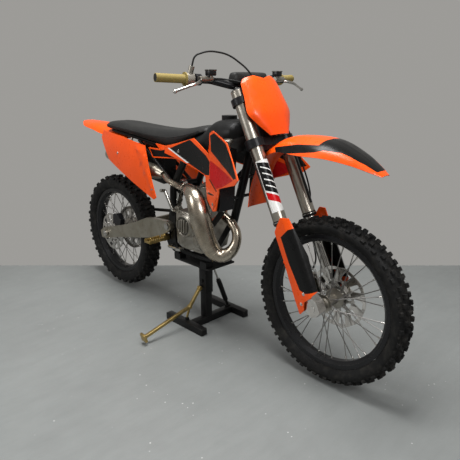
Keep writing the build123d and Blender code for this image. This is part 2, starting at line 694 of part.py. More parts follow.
SHROUD_PLAN = [(480, 98), (620, 112), (800, 124), (935, 146), (1080, 180), (1220, 236)]
SHROUD_OUTLINE = [
    (500, 905), (600, 902), (813, 955), (935, 905), (940, 990), (962, 999), (1076, 959), (1192, 830), (1150, 795),
    (1010, 758), (992, 664), (968, 655), (925, 700), (915, 805), (700, 850), (560, 872),
]


def shroud():
    sheet = curved_sheet(SHROUD_PLAN, 4.0, 600, 1050, 0, fore)
    prism = side_cut(SHROUD_OUTLINE, 60, 300, fore)
    pegs = [rod(fore(1000, 150.3, 900), fore(1000, 163, 900), 6), rod(fore(985, 150.3, 720), fore(985, 159, 720), 6)]
    return (sheet & prism).solid().fuse(*pegs)


add("shroud_left", shroud())
add("shroud_right", flip(shroud()))

PANEL_PLAN = [(10, 118), (160, 140), (360, 152), (600, 152)]
PANEL_OUTLINE = [
    (46, 942), (270, 924), (480, 896), (504, 838), (566, 652), (545, 640), (141, 792), (30, 900),
]


def side_panel():
    sheet = curved_sheet(PANEL_PLAN, 4.0, 600, 980, 16, at)
    prism = side_cut(PANEL_OUTLINE, 60, 300)
    pegs = [rod(at(150, 66.2, 927), at(150, 125, 927), 6), rod(at(400, 63.0, 898), at(400, 141, 898), 6)]
    return (sheet & prism).solid().fuse(*pegs)


add("side_panel_left", side_panel())
add("side_panel_right", flip(side_panel()))


def arch_loft(path, thick, place, facing=1):
    """A thin arched shell along a path of (ahead, up, half width, edge drop)."""
    sections = []
    for k, (ahead, up, half, drop) in enumerate(path):
        before = path[max(k - 1, 0)]
        after = path[min(k + 1, len(path) - 1)]
        run = Vector(after[0] - before[0], 0, after[1] - before[1]).normalized()
        out = Vector(-run.Z, 0, run.X) * facing
        outer = [(0, 0), (half * 0.62, -drop * 0.18), (half, -drop)]
        inner = [(half - thick, -drop), (half * 0.62 - thick * 0.4, -drop * 0.18 - thick), (0, -thick)]
        half_ring = outer + inner
        ring = half_ring + [(-y, n) for y, n in reversed(half_ring[1:-1])]
        sections.append([place(ahead + out.X * n, y, up + out.Z * n) for y, n in ring])
    return skin(sections)


REAR_FENDER = [
    (-294, 973, 44, 8), (-230, 972, 74, 26), (-120, 968, 86, 36), (0, 944, 84, 34), (60, 930, 74, 22), (150, 900, 60, 16),
]
add("rear_fender", arch_loft(REAR_FENDER, 4.0, at))

FRONT_FENDER = [
    (-150, 466, 74, 6), (-112, 540, 66, 10), (-50, 612, 58, 16), (20, 652, 58, 26), (90, 664, 84, 44), (150, 664, 100, 62),
    (250, 632, 112, 70), (330, 582, 116, 62), (400, 500, 84, 34), (464, 389, 30, 8),
]
fender_bosses = []
for ahead, low in ((4, 638), (44, 648)):
    for y in (-22, 22):
        fender_bosses.append(rod(steer(ahead, y, low), steer(ahead, y, LOWER_CLAMP - CLAMP_TALL / 2 - RUN_GAP), 8))
add("front_fender", arch_loft(FRONT_FENDER, 4.0, steer).fuse(*fender_bosses))
NUMBER_PLATE = [
    (96, 690, 56, 14), (102, 740, 96, 30), (106, 790, 124, 42), (102, 860, 114, 38), (94, 925, 104, 32), (90, 942, 92, 28),
]
plate_pegs = [rod(steer(46, y, UPPER_CLAMP), steer(98, y, UPPER_CLAMP), 6) for y in (-34, 34)]
add("number_plate", arch_loft(NUMBER_PLATE, 4.0, steer, -1).fuse(*plate_pegs))

# ---- rear suspension, brake and foot parts ----
SHOCK_Y = -21.0
SHOCK_TOP = at(606, SHOCK_Y, 712)
SHOCK_LOW = at(508, SHOCK_Y, 462)
shock_way = (SHOCK_TOP - SHOCK_LOW).normalized()
shock = rod(SHOCK_LOW, SHOCK_TOP - shock_way * 16, 8)
shock = shock.fuse(rod(SHOCK_LOW + shock_way * 110, SHOCK_TOP - shock_way * 16, 17))
for k in range(7):
    coil = SHOCK_LOW + shock_way * (24 + 24 * k)
    shock = shock.fuse(rod(coil, coil + shock_way * 10, 20))
shock = shock.fuse(rod(SHOCK_LOW + Vector(0, -16, 0), SHOCK_LOW + Vector(0, 16, 0), 16))
shock = shock.fuse(rod(SHOCK_TOP + Vector(0, -14, 0), SHOCK_TOP + Vector(0, 14, 0), 20))
shock = shock - rod(SHOCK_TOP + Vector(0, -60, 0), SHOCK_TOP + Vector(0, 60, 0), 13.2)
add("rear_shock", shock)

caliper_outline = [(40, 412), (76, 390), (112, 404), (120, 440), (84, 470), (44, 462)]
rear_caliper = side_cut(caliper_outline, -ARM_INNER + RUN_GAP, REAR_DISC_Y + DISC_THICK / 2 + DISC_ROOM + 3)
disc_slot = rod(REAR + Vector(0, REAR_DISC_Y - DISC_THICK / 2 - DISC_ROOM, 0), REAR + Vector(0, REAR_DISC_Y + DISC_THICK / 2 + DISC_ROOM, 0), REAR_DISC_R + DISC_ROOM)
add("rear_caliper", rear_caliper - disc_slot)

peg = side_cut([(542, 434), (588, 434), (588, 446), (542, 446)], 130, 222)
peg_mount = side_cut([(552, 430), (580, 430), (580, 456), (552, 456)], PLATE_OUT + 0.3, 130)
add("footpegs", both(peg.fuse(peg_mount)))

# ---- fork and front end ----
tubes = rod(steer(CLAMP_AHEAD, FORK_HALF, SLIDER_END), steer(CLAMP_AHEAD, FORK_HALF, FORK_TOP), OUTER_TUBE_R)
tubes = tubes - rod(steer(CLAMP_AHEAD, FORK_HALF, SLIDER_END - 1), steer(CLAMP_AHEAD, FORK_HALF, SLIDER_END + 120), INNER_TUBE_R)
add("fork_tubes", both(tubes))


def fork_leg():
    """Bright inner tube with its cast axle lug."""
    stanchion = rod(steer(CLAMP_AHEAD, FORK_HALF, 30), steer(CLAMP_AHEAD, FORK_HALF, SLIDER_END + 110), INNER_TUBE_R - 0.2)
    outline = [(-4, 96), (48, 96), (66, 50), (84, 20), (84, -20), (64, -32), (40, -32), (4, 10)]
    lug = slab([steer(a, FORK_HALF - 23, t) for a, t in outline], (0, 46, 0))
    leg = stanchion.fuse(lug)
    axle_bore = rod(Vector(FRONT_X, 0, FRONT_Z), Vector(FRONT_X, 200, FRONT_Z), FRONT_AXLE_R + 0.2)
    return leg - axle_bore


add("fork_legs", both(fork_leg()))
FRONT_AXLE_END = FORK_HALF + 24
axle = rod(FRONT + Vector(0, -FRONT_AXLE_END, 0), FRONT + Vector(0, FRONT_AXLE_END, 0), FRONT_AXLE_R)
for side in (-1, 1):
    hub_y = FRONT_HUB_Y[1] + 14 + RUN_GAP if side > 0 else FRONT_HUB_Y[0] - 14 - RUN_GAP
    axle = axle.fuse(rod(FRONT + Vector(0, hub_y, 0), FRONT + Vector(0, side * (FORK_HALF - 23.3), 0), 19))
add("front_axle", axle)


def clamp_plate(t_mid, tall, with_stem_hole):
    """A clamp bridging both fork tubes across the steering axis."""
    low = t_mid - tall / 2
    bridge = [
        (-16, -FORK_HALF), (-26, -24), (-26, 24), (-16, FORK_HALF),
        (52, FORK_HALF), (44, 20), (44, -20), (52, -FORK_HALF),
    ]
    plate = slab([steer(a, y, low) for a, y in bridge], STEER_UP * tall)
    for side in (-1, 1):
        plate = plate.fuse(rod(steer(CLAMP_AHEAD, side * FORK_HALF, low), steer(CLAMP_AHEAD, side * FORK_HALF, low + tall), OUTER_TUBE_R + 10))
    for side in (-1, 1):
        plate = plate - rod(steer(CLAMP_AHEAD, side * FORK_HALF, low - 1), steer(CLAMP_AHEAD, side * FORK_HALF, low + tall + 1), OUTER_TUBE_R + 0.1)
    return plate


lower = clamp_plate(LOWER_CLAMP, CLAMP_TALL, True)
upper = clamp_plate(UPPER_CLAMP, CLAMP_TALL * 0.8, True)
stem = rod(steer(0, 0, LOWER_CLAMP - 10), steer(0, 0, UPPER_CLAMP + 24), STEM_R)
BAR_CENTRE = steer(4, 0, 936)
risers = []
for side in (-1, 1):
    foot = steer(6, side * 46, UPPER_CLAMP + CLAMP_TALL * 0.4 - 1)
    risers.append(rod(foot, BAR_CENTRE + Vector(0, side * 46, 0) - STEER_UP * (BAR_R + RUN_GAP), 15))
add("triple_clamps", lower.fuse(upper, stem, *risers))


def handlebar(radius):
    """A bent tube: flat middle, rising bends and swept ends."""
    half = pipe([BAR_CENTRE, BAR_CENTRE + Vector(0, 92, 0), GRIP_IN - BAR_WAY * 110, GRIP_OUT], radius, 60)
    return half.fuse(flip(half))


GRIP_IN = fore(954, 278, 1202)
GRIP_OUT = fore(927, 400, 1207)
BAR_WAY = (GRIP_OUT - GRIP_IN).normalized()
add("handlebar", handlebar(BAR_R))
grip = rod(GRIP_IN, GRIP_OUT, GRIP_R).fuse(rod(GRIP_IN, GRIP_IN + BAR_WAY * 5, 26))
grip = grip - rod(GRIP_IN - BAR_WAY * 10, GRIP_OUT, BAR_R + 0.1)
add("grips", both(grip))


def along_bar(inward, side=1):
    """A point on the bar's axis, so far inboard of the grip."""
    spot = GRIP_IN - BAR_WAY * inward
    return Vector(spot.X, side * spot.Y, spot.Z)


def control(side):
    """A lever with its perch, and the master cylinder with its small tank above."""
    inner = along_bar(66, side)
    outer = along_bar(40, side)
    perch = rod(inner, outer, BAR_R + 8) - rod(along_bar(90, side), along_bar(20, side), BAR_R + 0.1)
    mid = along_bar(53, side)
    body = rod(mid + Vector(40, side * -34, 2), mid + Vector(36, side * 22, 2), 11)
    tank = Pos(mid + Vector(47, side * -30, 26)) * Box(34, 46, 28)
    neck = rod(mid + Vector(BAR_R + 4, 0, 0), mid + Vector(36, 0, 2), 9)
    pivot = mid + Vector(37, side * 14, -2)
    knee = mid + Vector(66, side * 66, -16)
    tip = Vector(REAR_X + HEAD_SHIFT + 1012, side * 378, 1158)
    blade = pipe([pivot, knee, tip], 5.5, 30)
    ball = (Pos(tip) * Sphere(8)).solid()
    return perch.fuse(neck, body, tank.solid(), blade, ball)


hand_controls = [control(-1), control(1)]
throttle = rod(along_bar(1, -1), along_bar(32, -1), 24)
throttle = throttle.fuse(rod(along_bar(16, -1), along_bar(16, -1) + Vector(12, 6, 48), 11))
throttle = throttle - rod(along_bar(-20, -1), along_bar(40, -1), BAR_R + 0.1)
add("throttle_housing", throttle)
add("hand_controls", Compound(children=hand_controls))
PAD_HALF = 100.0
pad_outline = [(-22, 4), (24, 4), (28, 20), (20, 56), (-16, 56), (-26, 20)]
bar_pad = slab([BAR_CENTRE + Vector(x, -PAD_HALF, z) for x, z in pad_outline], (0, 2 * PAD_HALF, 0))
add("bar_pad", bar_pad - handlebar(BAR_R + RUN_GAP))

GUARD_PLAN = [(-8, 118), (36, 123.5), (88, 119), (108, 84)]
GUARD_OUTLINE = [
    (2, 326), (58, 372), (92, 358), (104, 200), (100, 60), (72, 44), (36, 34), (20, 2), (-8, -10), (-8, 60), (0, 200),
]


def fork_guard():
    sheet = curved_sheet(GUARD_PLAN, 4.0, -40, 420, 0, steer)
    pegs = [rod(steer(20, 117.1, 30), steer(20, 122, 30), 7), rod(steer(42, 117.1, 70), steer(42, 124, 70), 7)]
    return (sheet & side_cut(GUARD_OUTLINE, 60, 140, steer)).solid().fuse(*pegs)


add("fork_guards", both(fork_guard()))

CALIPER_Y = FRONT_DISC_Y - DISC_THICK / 2 - DISC_ROOM - 10
caliper = side_cut(
    [(-72, 34), (-44, 8), (-30, 20), (-24, 110), (-50, 122), (-78, 92)], CALIPER_Y, CALIPER_Y + 37, steer
)
bracket = side_cut([(-30, 30), (-4.3, 30), (-4.3, 90), (-30, 90)], FORK_HALF - 23, FORK_HALF - 10, steer)
front_caliper = caliper.fuse(bracket)
front_slot = rod(
    FRONT + Vector(0, FRONT_DISC_Y - DISC_THICK / 2 - DISC_ROOM, 0),
    FRONT + Vector(0, FRONT_DISC_Y + DISC_THICK / 2 + DISC_ROOM, 0),
    FRONT_DISC_R + DISC_ROOM,
)
add("front_caliper", front_caliper - front_slot)


def cord(points, radius):
    """A held hose: straight runs joined by arcs as large as the two runs at each corner allow."""
    radii = []
    for before, corner, after in zip(points, points[1:], points[2:]):
        run_in = corner - before
        run_out = after - corner
        turn = math.radians(run_in.get_angle(run_out))
        radii.append(0.45 * min(run_in.length, run_out.length) / math.tan(turn / 2))
    path = FilletPolyline(*points, radius=radii)
    section = Plane(origin=path @ 0, z_dir=path % 0) * Circle(radius)
    return sweep(section, path=path).solid()


THROTTLE_ROUTE = [
    fore(969.6, -256.4, 1249.8), fore(979, -251.5, 1288), fore(1004, -200, 1306), fore(1030, -120, 1296), fore(1066, -48, 1240),
    fore(1092, -24, 1186), fore(1116, -12, 1124), fore(1144, -8, 1056), fore(1166, -6, 988),
]
BRAKE_ROUTE = [
    fore(1005.4, -191.9, 1201.9), fore(1009, -150, 1204), fore(1080, -80, 1190), fore(1124, -8, 1136), steer(70, 42, 780),
    steer(72, 70, 720), steer(72, 88, 650), steer(64, 102, 570), steer(52, 116, 490), steer(34, 127, 430),
    steer(8, 128, 394), steer(-8, 116, 356), steer(-12, 104, 300), steer(-13, 102, 220), steer(-20, 92, 160),
    steer(-40, 72, 128),
]
CABLE_R = 3.5
add("cables", Compound(children=[cord(THROTTLE_ROUTE, CABLE_R), cord(BRAKE_ROUTE, CABLE_R)]))

# ---- foot controls and stays ----
kick = pipe([at(648, -100.3, 598), at(648, -122, 598), at(604, -132, 690)], 8, 10)
kick = kick.fuse(rod(at(604, -132, 690), at(604, -158, 694), 8))
brake_pedal = pipe([at(604, -94.3, 408), at(606, -124, 408), at(716, -142, 420)], 7, 12)
brake_pedal = brake_pedal.fuse(side_cut([(704, 416), (738, 420), (738, 432), (704, 428)], -158, -134))
gear_lever = pipe([at(648, 54.3, 438), at(648, 96, 438), at(764, 112, 446)], 7, 12)
gear_lever = gear_lever.fuse(rod(at(764, 108, 446), at(764, 140, 446), 8))
add("foot_controls", Compound(children=[kick, brake_pedal, gear_lever]))
stay_outline = [(990, 659), (964, 659), (877, 587), (877, 572), (893, 572)]
add("engine_stay", side_cut(stay_outline, -84, -76))

# ---- lift stand ----
HALF_TUBE = STAND_TUBE / 2


def square_bar(start, end, side):
    """A square tube from one point to another, its flats level where it lies along X or Y."""
    run = Vector(*end) - Vector(*start)
    x_dir = (0, 0, 1) if abs(run.Z) < 0.9 * run.length else (1, 0, 0)
    section = Plane(origin=start, x_dir=x_dir, z_dir=run) * Rectangle(side, side)
    return Solid.extrude(section.face(), run)


skids = []
for y in (STAND_NEAR_Y, STAND_FAR_Y):
    skids.append(square_bar(at(STAND_BACK_X, y, HALF_TUBE), at(STAND_FRONT_X, y, HALF_TUBE), STAND_TUBE))
cross = square_bar(at(STAND_POST_X, STAND_NEAR_Y, HALF_TUBE), at(STAND_POST_X, STAND_FAR_Y, HALF_TUBE), STAND_TUBE)
post = square_bar(at(STAND_POST_X, 0, STAND_TUBE - 1), at(STAND_POST_X, 0, STAND_TOP_Z - 8), 50)
add("stand_frame", skids[0].fuse(skids[1], cross, post))
top_plate = side_cut([(604, STAND_TOP_Z - 8), (860, STAND_TOP_Z - 8), (860, STAND_TOP_Z), (604, STAND_TOP_Z)], -86, 86)
pads = []
for side in (-1, 1):
    for x in (625, 820):
        pads.append(side_cut([(x - 22, STAND_TOP_Z), (x + 22, STAND_TOP_Z), (x + 22, CRADLE_Z - CRADLE_TUBE_R), (x - 22, CRADLE_Z - CRADLE_TUBE_R)], side * CRADLE_Y - 20, side * CRADLE_Y + 20))
add("stand_head", top_plate.fuse(*pads))
lever = pipe([at(730, -34.3, 196), at(680, -52, 120), at(650, -80, 76), at(693, -376, 24)], 9, 24)
add("stand_lever", lever)
strut = rod(at(784, 22, 345), at(790, 180, 10), 9)
strut_room = Pos(at(780, 90, (STAND_TUBE + STAND_TOP_Z - 8) / 2)) * Box(200, 300, STAND_TOP_Z - 8 - STAND_TUBE - 0.6)
add("stand_strut", strut & strut_room)


os.makedirs("parts", exist_ok=True)
for name, shape in parts.items():
    export_step(shape, "parts/" + name + ".step")
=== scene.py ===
import json
import math

import bmesh
import bpy
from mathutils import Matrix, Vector


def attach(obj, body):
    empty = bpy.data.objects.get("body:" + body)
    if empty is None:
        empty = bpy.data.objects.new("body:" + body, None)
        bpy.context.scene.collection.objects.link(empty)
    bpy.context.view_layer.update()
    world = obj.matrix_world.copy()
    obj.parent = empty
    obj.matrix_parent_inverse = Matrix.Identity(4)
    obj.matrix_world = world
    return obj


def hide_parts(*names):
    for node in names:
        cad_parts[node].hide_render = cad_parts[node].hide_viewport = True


# Looks for the motocross bike on its lift stand. Metres, in the CAD frame; helpers take millimetres.

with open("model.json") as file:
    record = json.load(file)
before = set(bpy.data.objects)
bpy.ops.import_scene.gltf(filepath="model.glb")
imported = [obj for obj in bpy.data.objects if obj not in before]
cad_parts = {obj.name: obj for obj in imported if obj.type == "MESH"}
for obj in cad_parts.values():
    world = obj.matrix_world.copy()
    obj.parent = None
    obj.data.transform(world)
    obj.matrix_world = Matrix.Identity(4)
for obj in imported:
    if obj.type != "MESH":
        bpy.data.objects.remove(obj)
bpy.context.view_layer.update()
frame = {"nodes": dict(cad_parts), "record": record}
NODES = frame["nodes"]


# ---- material tools ----
DRY_DUST = (0.33, 0.30, 0.26)
MUD_DUST = (0.16, 0.145, 0.12)


def new_object(name, data):
    piece = bpy.data.objects.new(name, data)
    bpy.context.scene.collection.objects.link(piece)
    return piece


class Nodes:
    """A material's node tree with short calls for what the materials here use."""

    def __init__(self, name):
        self.mat = bpy.data.materials.new(name)
        self.mat.use_nodes = True
        self.tree = self.mat.node_tree
        self.shader = self.tree.nodes["Principled BSDF"]
        self.coords = self.add("ShaderNodeTexCoord").outputs["Object"]

    def add(self, kind, **values):
        """A new node; lower-case names are its settings and capitalised ones its sockets."""
        node = self.tree.nodes.new(kind)
        for key, value in values.items():
            if key[0].islower():
                setattr(node, key, value)
            else:
                node.inputs[key].default_value = value
        return node

    def link(self, output, target):
        self.tree.links.new(output, target)

    def mapped(self, scale):
        mapping = self.add("ShaderNodeMapping", Scale=scale)
        self.link(self.coords, mapping.inputs["Vector"])
        return mapping.outputs["Vector"]

    def noise(self, scale, detail=4.0, rough=0.6, stretch=(1, 1, 1)):
        node = self.add("ShaderNodeTexNoise", Scale=scale, Detail=detail, Roughness=rough)
        self.link(self.mapped(stretch), node.inputs["Vector"])
        return node.outputs["Fac"]

    def cells(self, scale):
        node = self.add("ShaderNodeTexVoronoi", Scale=scale)
        self.link(self.mapped((1, 1, 1)), node.inputs["Vector"])
        return node.outputs["Distance"]

    def span(self, value, low, high, to_low=0.0, to_high=1.0):
        node = self.add("ShaderNodeMapRange")
        for key, number in zip(("From Min", "From Max", "To Min", "To Max"), (low, high, to_low, to_high)):
            node.inputs[key].default_value = number
        self.link(value, node.inputs["Value"])
        return node.outputs["Result"]

    def maths(self, operation, a, b):
        node = self.add("ShaderNodeMath", operation=operation)
        for socket, value in zip(node.inputs, (a, b)):
            if isinstance(value, (int, float)):
                socket.default_value = value
            else:
                self.link(value, socket)
        return node.outputs["Value"]

    def blend(self, share, a, b):
        """Colour a where share is 0 and b where it is 1."""
        node = self.add("ShaderNodeMix", data_type="RGBA")
        self.link(share, node.inputs["Factor"])
        for key, value in (("A", a), ("B", b)):
            socket = [s for s in node.inputs if s.name == key and s.type == "RGBA"][0]
            if isinstance(value, tuple):
                socket.default_value = (*value, 1.0)
            else:
                self.link(value, socket)
        return [s for s in node.outputs if s.type == "RGBA"][0]

    def finish(self, colour, rough):
        self.link(colour, self.shader.inputs["Base Color"])
        self.link(rough, self.shader.inputs["Roughness"])

    def relief(self, height, distance, strength=1.0, edge=0.0):
        """Bump from a height, over edges softened by a small radius."""
        bump = self.add("ShaderNodeBump", Distance=distance, Strength=strength)
        self.link(height, bump.inputs["Height"])
        if edge:
            soft = self.add("ShaderNodeBevel", samples=4, Radius=edge)
            self.link(soft.outputs["Normal"], bump.inputs["Normal"])
        self.link(bump.outputs["Normal"], self.shader.inputs["Normal"])

    def edges(self, radius):
        """Near 1 on convex and concave edges within the radius, else 0."""
        soft = self.add("ShaderNodeBevel", samples=4, Radius=radius)
        flat = self.add("ShaderNodeNewGeometry")
        dot = self.add("ShaderNodeVectorMath", operation="DOT_PRODUCT")
        self.link(soft.outputs["Normal"], dot.inputs[0])
        self.link(flat.outputs["Normal"], dot.inputs[1])
        return self.span(dot.outputs["Value"], 0.985, 0.8)


def grey(value):
    return (value, value, value)


def darker(colour, share):
    return tuple(c * share for c in colour)


def painted(name, colour, rough, coat, edge, wear, dust=0.12, shine=0.5):
    """Paint or gloss moulding: slight mottling, orange peel and scuffed edges."""
    m = Nodes(name)
    patch = m.span(m.noise(9.0), 0.35, 0.75)
    base = m.blend(patch, colour, darker(colour, 0.86))
    scuff = m.maths("MULTIPLY", m.edges(edge * 1.6), m.span(m.noise(160.0), 0.5, 0.62))
    base = m.blend(scuff, base, wear)
    speck = m.maths("MULTIPLY", m.span(m.noise(420.0, 2.0), 0.62, 0.72), dust)
    base = m.blend(speck, base, DRY_DUST)
    m.finish(base, m.span(m.noise(34.0), 0.3, 0.7, rough * 0.8, rough * 1.3))
    m.shader.inputs["Coat Weight"].default_value = coat
    m.shader.inputs["Specular IOR Level"].default_value = shine
    m.shader.inputs["Coat Roughness"].default_value = 0.12
    m.relief(m.noise(700.0, 2.0), 0.00006, 0.5, edge)
    return m.mat


def metal(name, colour, tint, rough, grain=(1, 1, 1), grain_scale=260.0, depth=0.00005, edge=0.0008,
          grime=0.35):
    """Bare metal: a second tint in patches, a grain, grime in the low frequencies and bright edges."""
    m = Nodes(name)
    m.shader.inputs["Metallic"].default_value = 1.0
    patch = m.span(m.noise(14.0), 0.35, 0.7)
    base = m.blend(patch, colour, tint)
    streak = m.noise(grain_scale, 6.0, 0.7, grain)
    soil = m.maths("MULTIPLY", m.span(m.noise(46.0, 6.0), 0.5, 0.75), grime)
    base = m.blend(soil, base, darker(tint, 0.35))
    rubbed = m.maths("MULTIPLY", m.edges(edge * 1.6), 0.6)
    base = m.blend(rubbed, base, darker(colour, 1.25))
    m.finish(base, m.span(streak, 0.3, 0.7, rough * 0.75, rough * 1.3))
    m.relief(streak, depth, 0.7, edge)
    return m.mat


def rubbery(name, colour, rough, dust, grain=340.0, depth=0.00015):
    """Rubber or soft vinyl: fine pebble grain with dust caught in it."""
    m = Nodes(name)
    m.shader.inputs["Specular IOR Level"].default_value = 0.22
    dusty = m.maths("MULTIPLY", m.span(m.noise(22.0, 8.0, 0.7), 0.48, 0.75), dust)
    base = m.blend(dusty, colour, MUD_DUST)
    m.finish(base, m.span(m.noise(60.0), 0.3, 0.7, rough * 0.85, rough * 1.15))
    m.relief(m.noise(grain, 6.0, 0.7), depth, 0.8, 0.0008)
    return m.mat


MATERIALS = {
    "black_frame": painted("satin_black_coat", grey(0.007), 0.36, 0.0, 0.0012, (0.10, 0.09, 0.08),
                           dust=0.04, shine=0.18),
    "raw_aluminium": metal("satin_aluminium", (0.40, 0.37, 0.31), (0.30, 0.27, 0.21), 0.34,
                           grain=(1, 8, 8), grain_scale=120.0),
    "cast_alloy": metal("cast_alloy", (0.40, 0.375, 0.335), (0.26, 0.24, 0.20), 0.4,
                        grain_scale=900.0, depth=0.00012, grime=0.5),
    "black_aluminium": painted("black_anodising", (0.008, 0.008, 0.009), 0.3, 0.0, 0.0008,
                               (0.25, 0.24, 0.22), dust=0.05, shine=0.25),
    "fork_aluminium": metal("polished_fork", (0.44, 0.41, 0.36), (0.36, 0.33, 0.28), 0.3,
                            grain=(8, 8, 1), grain_scale=180.0, depth=0.00002),
    "anodised_aluminium": metal("plain_aluminium", (0.60, 0.58, 0.55), (0.5, 0.48, 0.45), 0.28),
    "bright_steel": metal("bright_steel", (0.56, 0.54, 0.51), (0.45, 0.43, 0.4), 0.2,
                          grain=(1, 6, 1), grain_scale=200.0, depth=0.00002),
    "raw_steel": metal("raw_pipe_steel", (0.44, 0.39, 0.32), (0.30, 0.25, 0.19), 0.26,
                       grain=(1, 1, 3), grain_scale=200.0, depth=0.0000015, edge=0.001, grime=0.45),
    "chain_steel": metal("oiled_steel", (0.24, 0.22, 0.19), (0.12, 0.11, 0.10), 0.3),
    "orange_plastic": painted("orange_moulding", (0.86, 0.082, 0.003), 0.3, 0.1, 0.0015, (0.95, 0.22, 0.05),
                              dust=0.015, shine=0.3),
    "orange_metal": painted("orange_coat", (0.75, 0.10, 0.01), 0.3, 0.2, 0.001, (0.5, 0.45, 0.4)),
    "black_plastic": painted("black_moulding", grey(0.007), 0.42, 0.0, 0.0015, grey(0.04),
                             dust=0.02, shine=0.18),
    "black_vinyl": rubbery("black_seat_cover", (0.016, 0.016, 0.0155), 0.55, 0.05,
                           grain=900.0, depth=0.0002),
    "black_rubber": rubbery("black_rubber", grey(0.008), 0.6, 0.08),
    "khaki_rubber": rubbery("khaki_rubber", (0.23, 0.175, 0.055), 0.7, 0.2),
    "gold_zinc": metal("yellow_zinc", (0.50, 0.36, 0.13), (0.36, 0.27, 0.12), 0.34, grain_scale=120.0),
    "tyre": rubbery("tyre_rubber", grey(0.004), 0.7, 0.15, grain=300.0, depth=0.0002),
}
for part in frame["record"]["subparts"]:
    node = NODES[part["node"]]
    node.data.materials.clear()
    node.data.materials.append(MATERIALS[part["material_slot"]])


# ---- places ----
MM = 0.001
REAR_X = -0.74675
STEER_FOOT = Vector((0.684757, 0, 0.332743))
STEER_UP = Vector((-0.43994, 0, 0.89803))
STEER_FORE = Vector((0.89803, 0, 0.43994))
FORK_AHEAD = 22
FORK_HALF = 93


def at(x, y, z):
    """A point so many mm ahead of the rear axle, left of the middle and above the floor."""
    return Vector((REAR_X + x * MM, y * MM, z * MM))


def mm(x, y, z):
    """A shift in millimetres."""
    return Vector((x, y, z)) * MM


def steer(x, y, z):
    """A point in the fork's frame, in mm: ahead of the steering axis, left, and up along it."""
    return STEER_FOOT + STEER_FORE * (x * MM) + STEER_UP * (z * MM) + Vector((0, y * MM, 0))


FRONT_AXLE = at(1480, 0, 356.5)
REAR_AXLE = at(0, 0, 343)


def smooth(knots):
    """A smooth function through (place, value) pairs that runs straight on past its ends."""
    places = [k[0] for k in knots]
    values = [k[1] for k in knots]
    last = len(knots) - 1
    slopes = []
    for i in range(len(knots)):
        a, b = max(i - 1, 0), min(i + 1, last)
        slopes.append((values[b] - values[a]) / (places[b] - places[a]))

    def value(x):
        if x <= places[0]:
            return values[0] + slopes[0] * (x - places[0])
        if x >= places[-1]:
            return values[-1] + slopes[-1] * (x - places[-1])
        i = max(k for k in range(last) if places[k] <= x)
        span = places[i + 1] - places[i]
        t = (x - places[i]) / span
        low = (2 * t ** 3 - 3 * t ** 2 + 1) * values[i] + (t ** 3 - 2 * t ** 2 + t) * span * slopes[i]
        return low + (3 * t ** 2 - 2 * t ** 3) * values[i + 1] + (t ** 3 - t ** 2) * span * slopes[i + 1]

    return value


def circle(count, radius, phase=0.0):
    """Pairs evenly round a circle."""
    angles = [2 * math.pi * (k + phase) / count for k in range(count)]
    return [(radius * math.cos(angle), radius * math.sin(angle)) for angle in angles]


def round_corners(outline, radius, steps=4):
    """The outline with each corner turned into a short curve."""
    points = []
    for k, corner in enumerate(outline):
        here = Vector(corner)
        before = Vector(outline[k - 1]) - here
        after = Vector(outline[(k + 1) % len(outline)]) - here
        start = here + before.normalized() * min(radius, 0.4 * before.length)
        end = here + after.normalized() * min(radius, 0.4 * after.length)
        for i in range(steps + 1):
            t = i / steps
            points.append(tuple(start.lerp(here, t).lerp(here.lerp(end, t), t)))
    return points


def inside(centre, outline):
    """Whether a point lies inside a side-view outline."""
    x, _, z = centre
    hit = False
    for (ax, az), (bx, bz) in zip(outline, outline[1:] + outline[:1]):
        if (az > z) != (bz > z) and x < (bx - ax) * (z - az) / (bz - az) + ax:
            hit = not hit
    return hit


def slice_mesh(bm, faces, point, normal):
    """Cut the faces along a plane and keep both halves."""
    geometry = set(faces)
    for face in faces:
        geometry.update(face.verts)
        geometry.update(face.edges)
    bmesh.ops.bisect_plane(bm, geom=list(geometry), plane_co=point, plane_no=normal, dist=0.001)


def paint(bm, areas):
    """Cut the side-view outlines into the mesh and give the faces inside each its material number."""
    for outline, number in areas:
        for (ax, az), (bx, bz) in zip(outline, outline[1:] + outline[:1]):
            near = []
            for face in bm.faces:
                xs = [v.co.x for v in face.verts]
                zs = [v.co.z for v in face.verts]
                clear_x = max(xs) < min(ax, bx) or min(xs) > max(ax, bx)
                clear_z = max(zs) < min(az, bz) or min(zs) > max(az, bz)
                if not (clear_x or clear_z):
                    near.append(face)
            if near:
                slice_mesh(bm, near, (ax, 0, az), (bz - az, 0, ax - bx))
        for face in bm.faces:
            if inside(face.calc_center_median(), outline):
                face.material_index = number


def face_out(bm, outward):
    """Turn the mesh so that most of its area looks outward."""
    bmesh.ops.recalc_face_normals(bm, faces=bm.faces[:])
    if sum(f.normal.dot(outward) * f.calc_area() for f in bm.faces) < 0:
        bmesh.ops.reverse_faces(bm, faces=bm.faces[:])


def kit(*names):
    return [MATERIALS[name] for name in names]


def strip(bm, low, high, closed=True):
    """Quads between two rows of points."""
    first = 0 if closed else 1
    return [bm.faces.new((low[j - 1], low[j], high[j], high[j - 1])) for j in range(first, len(low))]


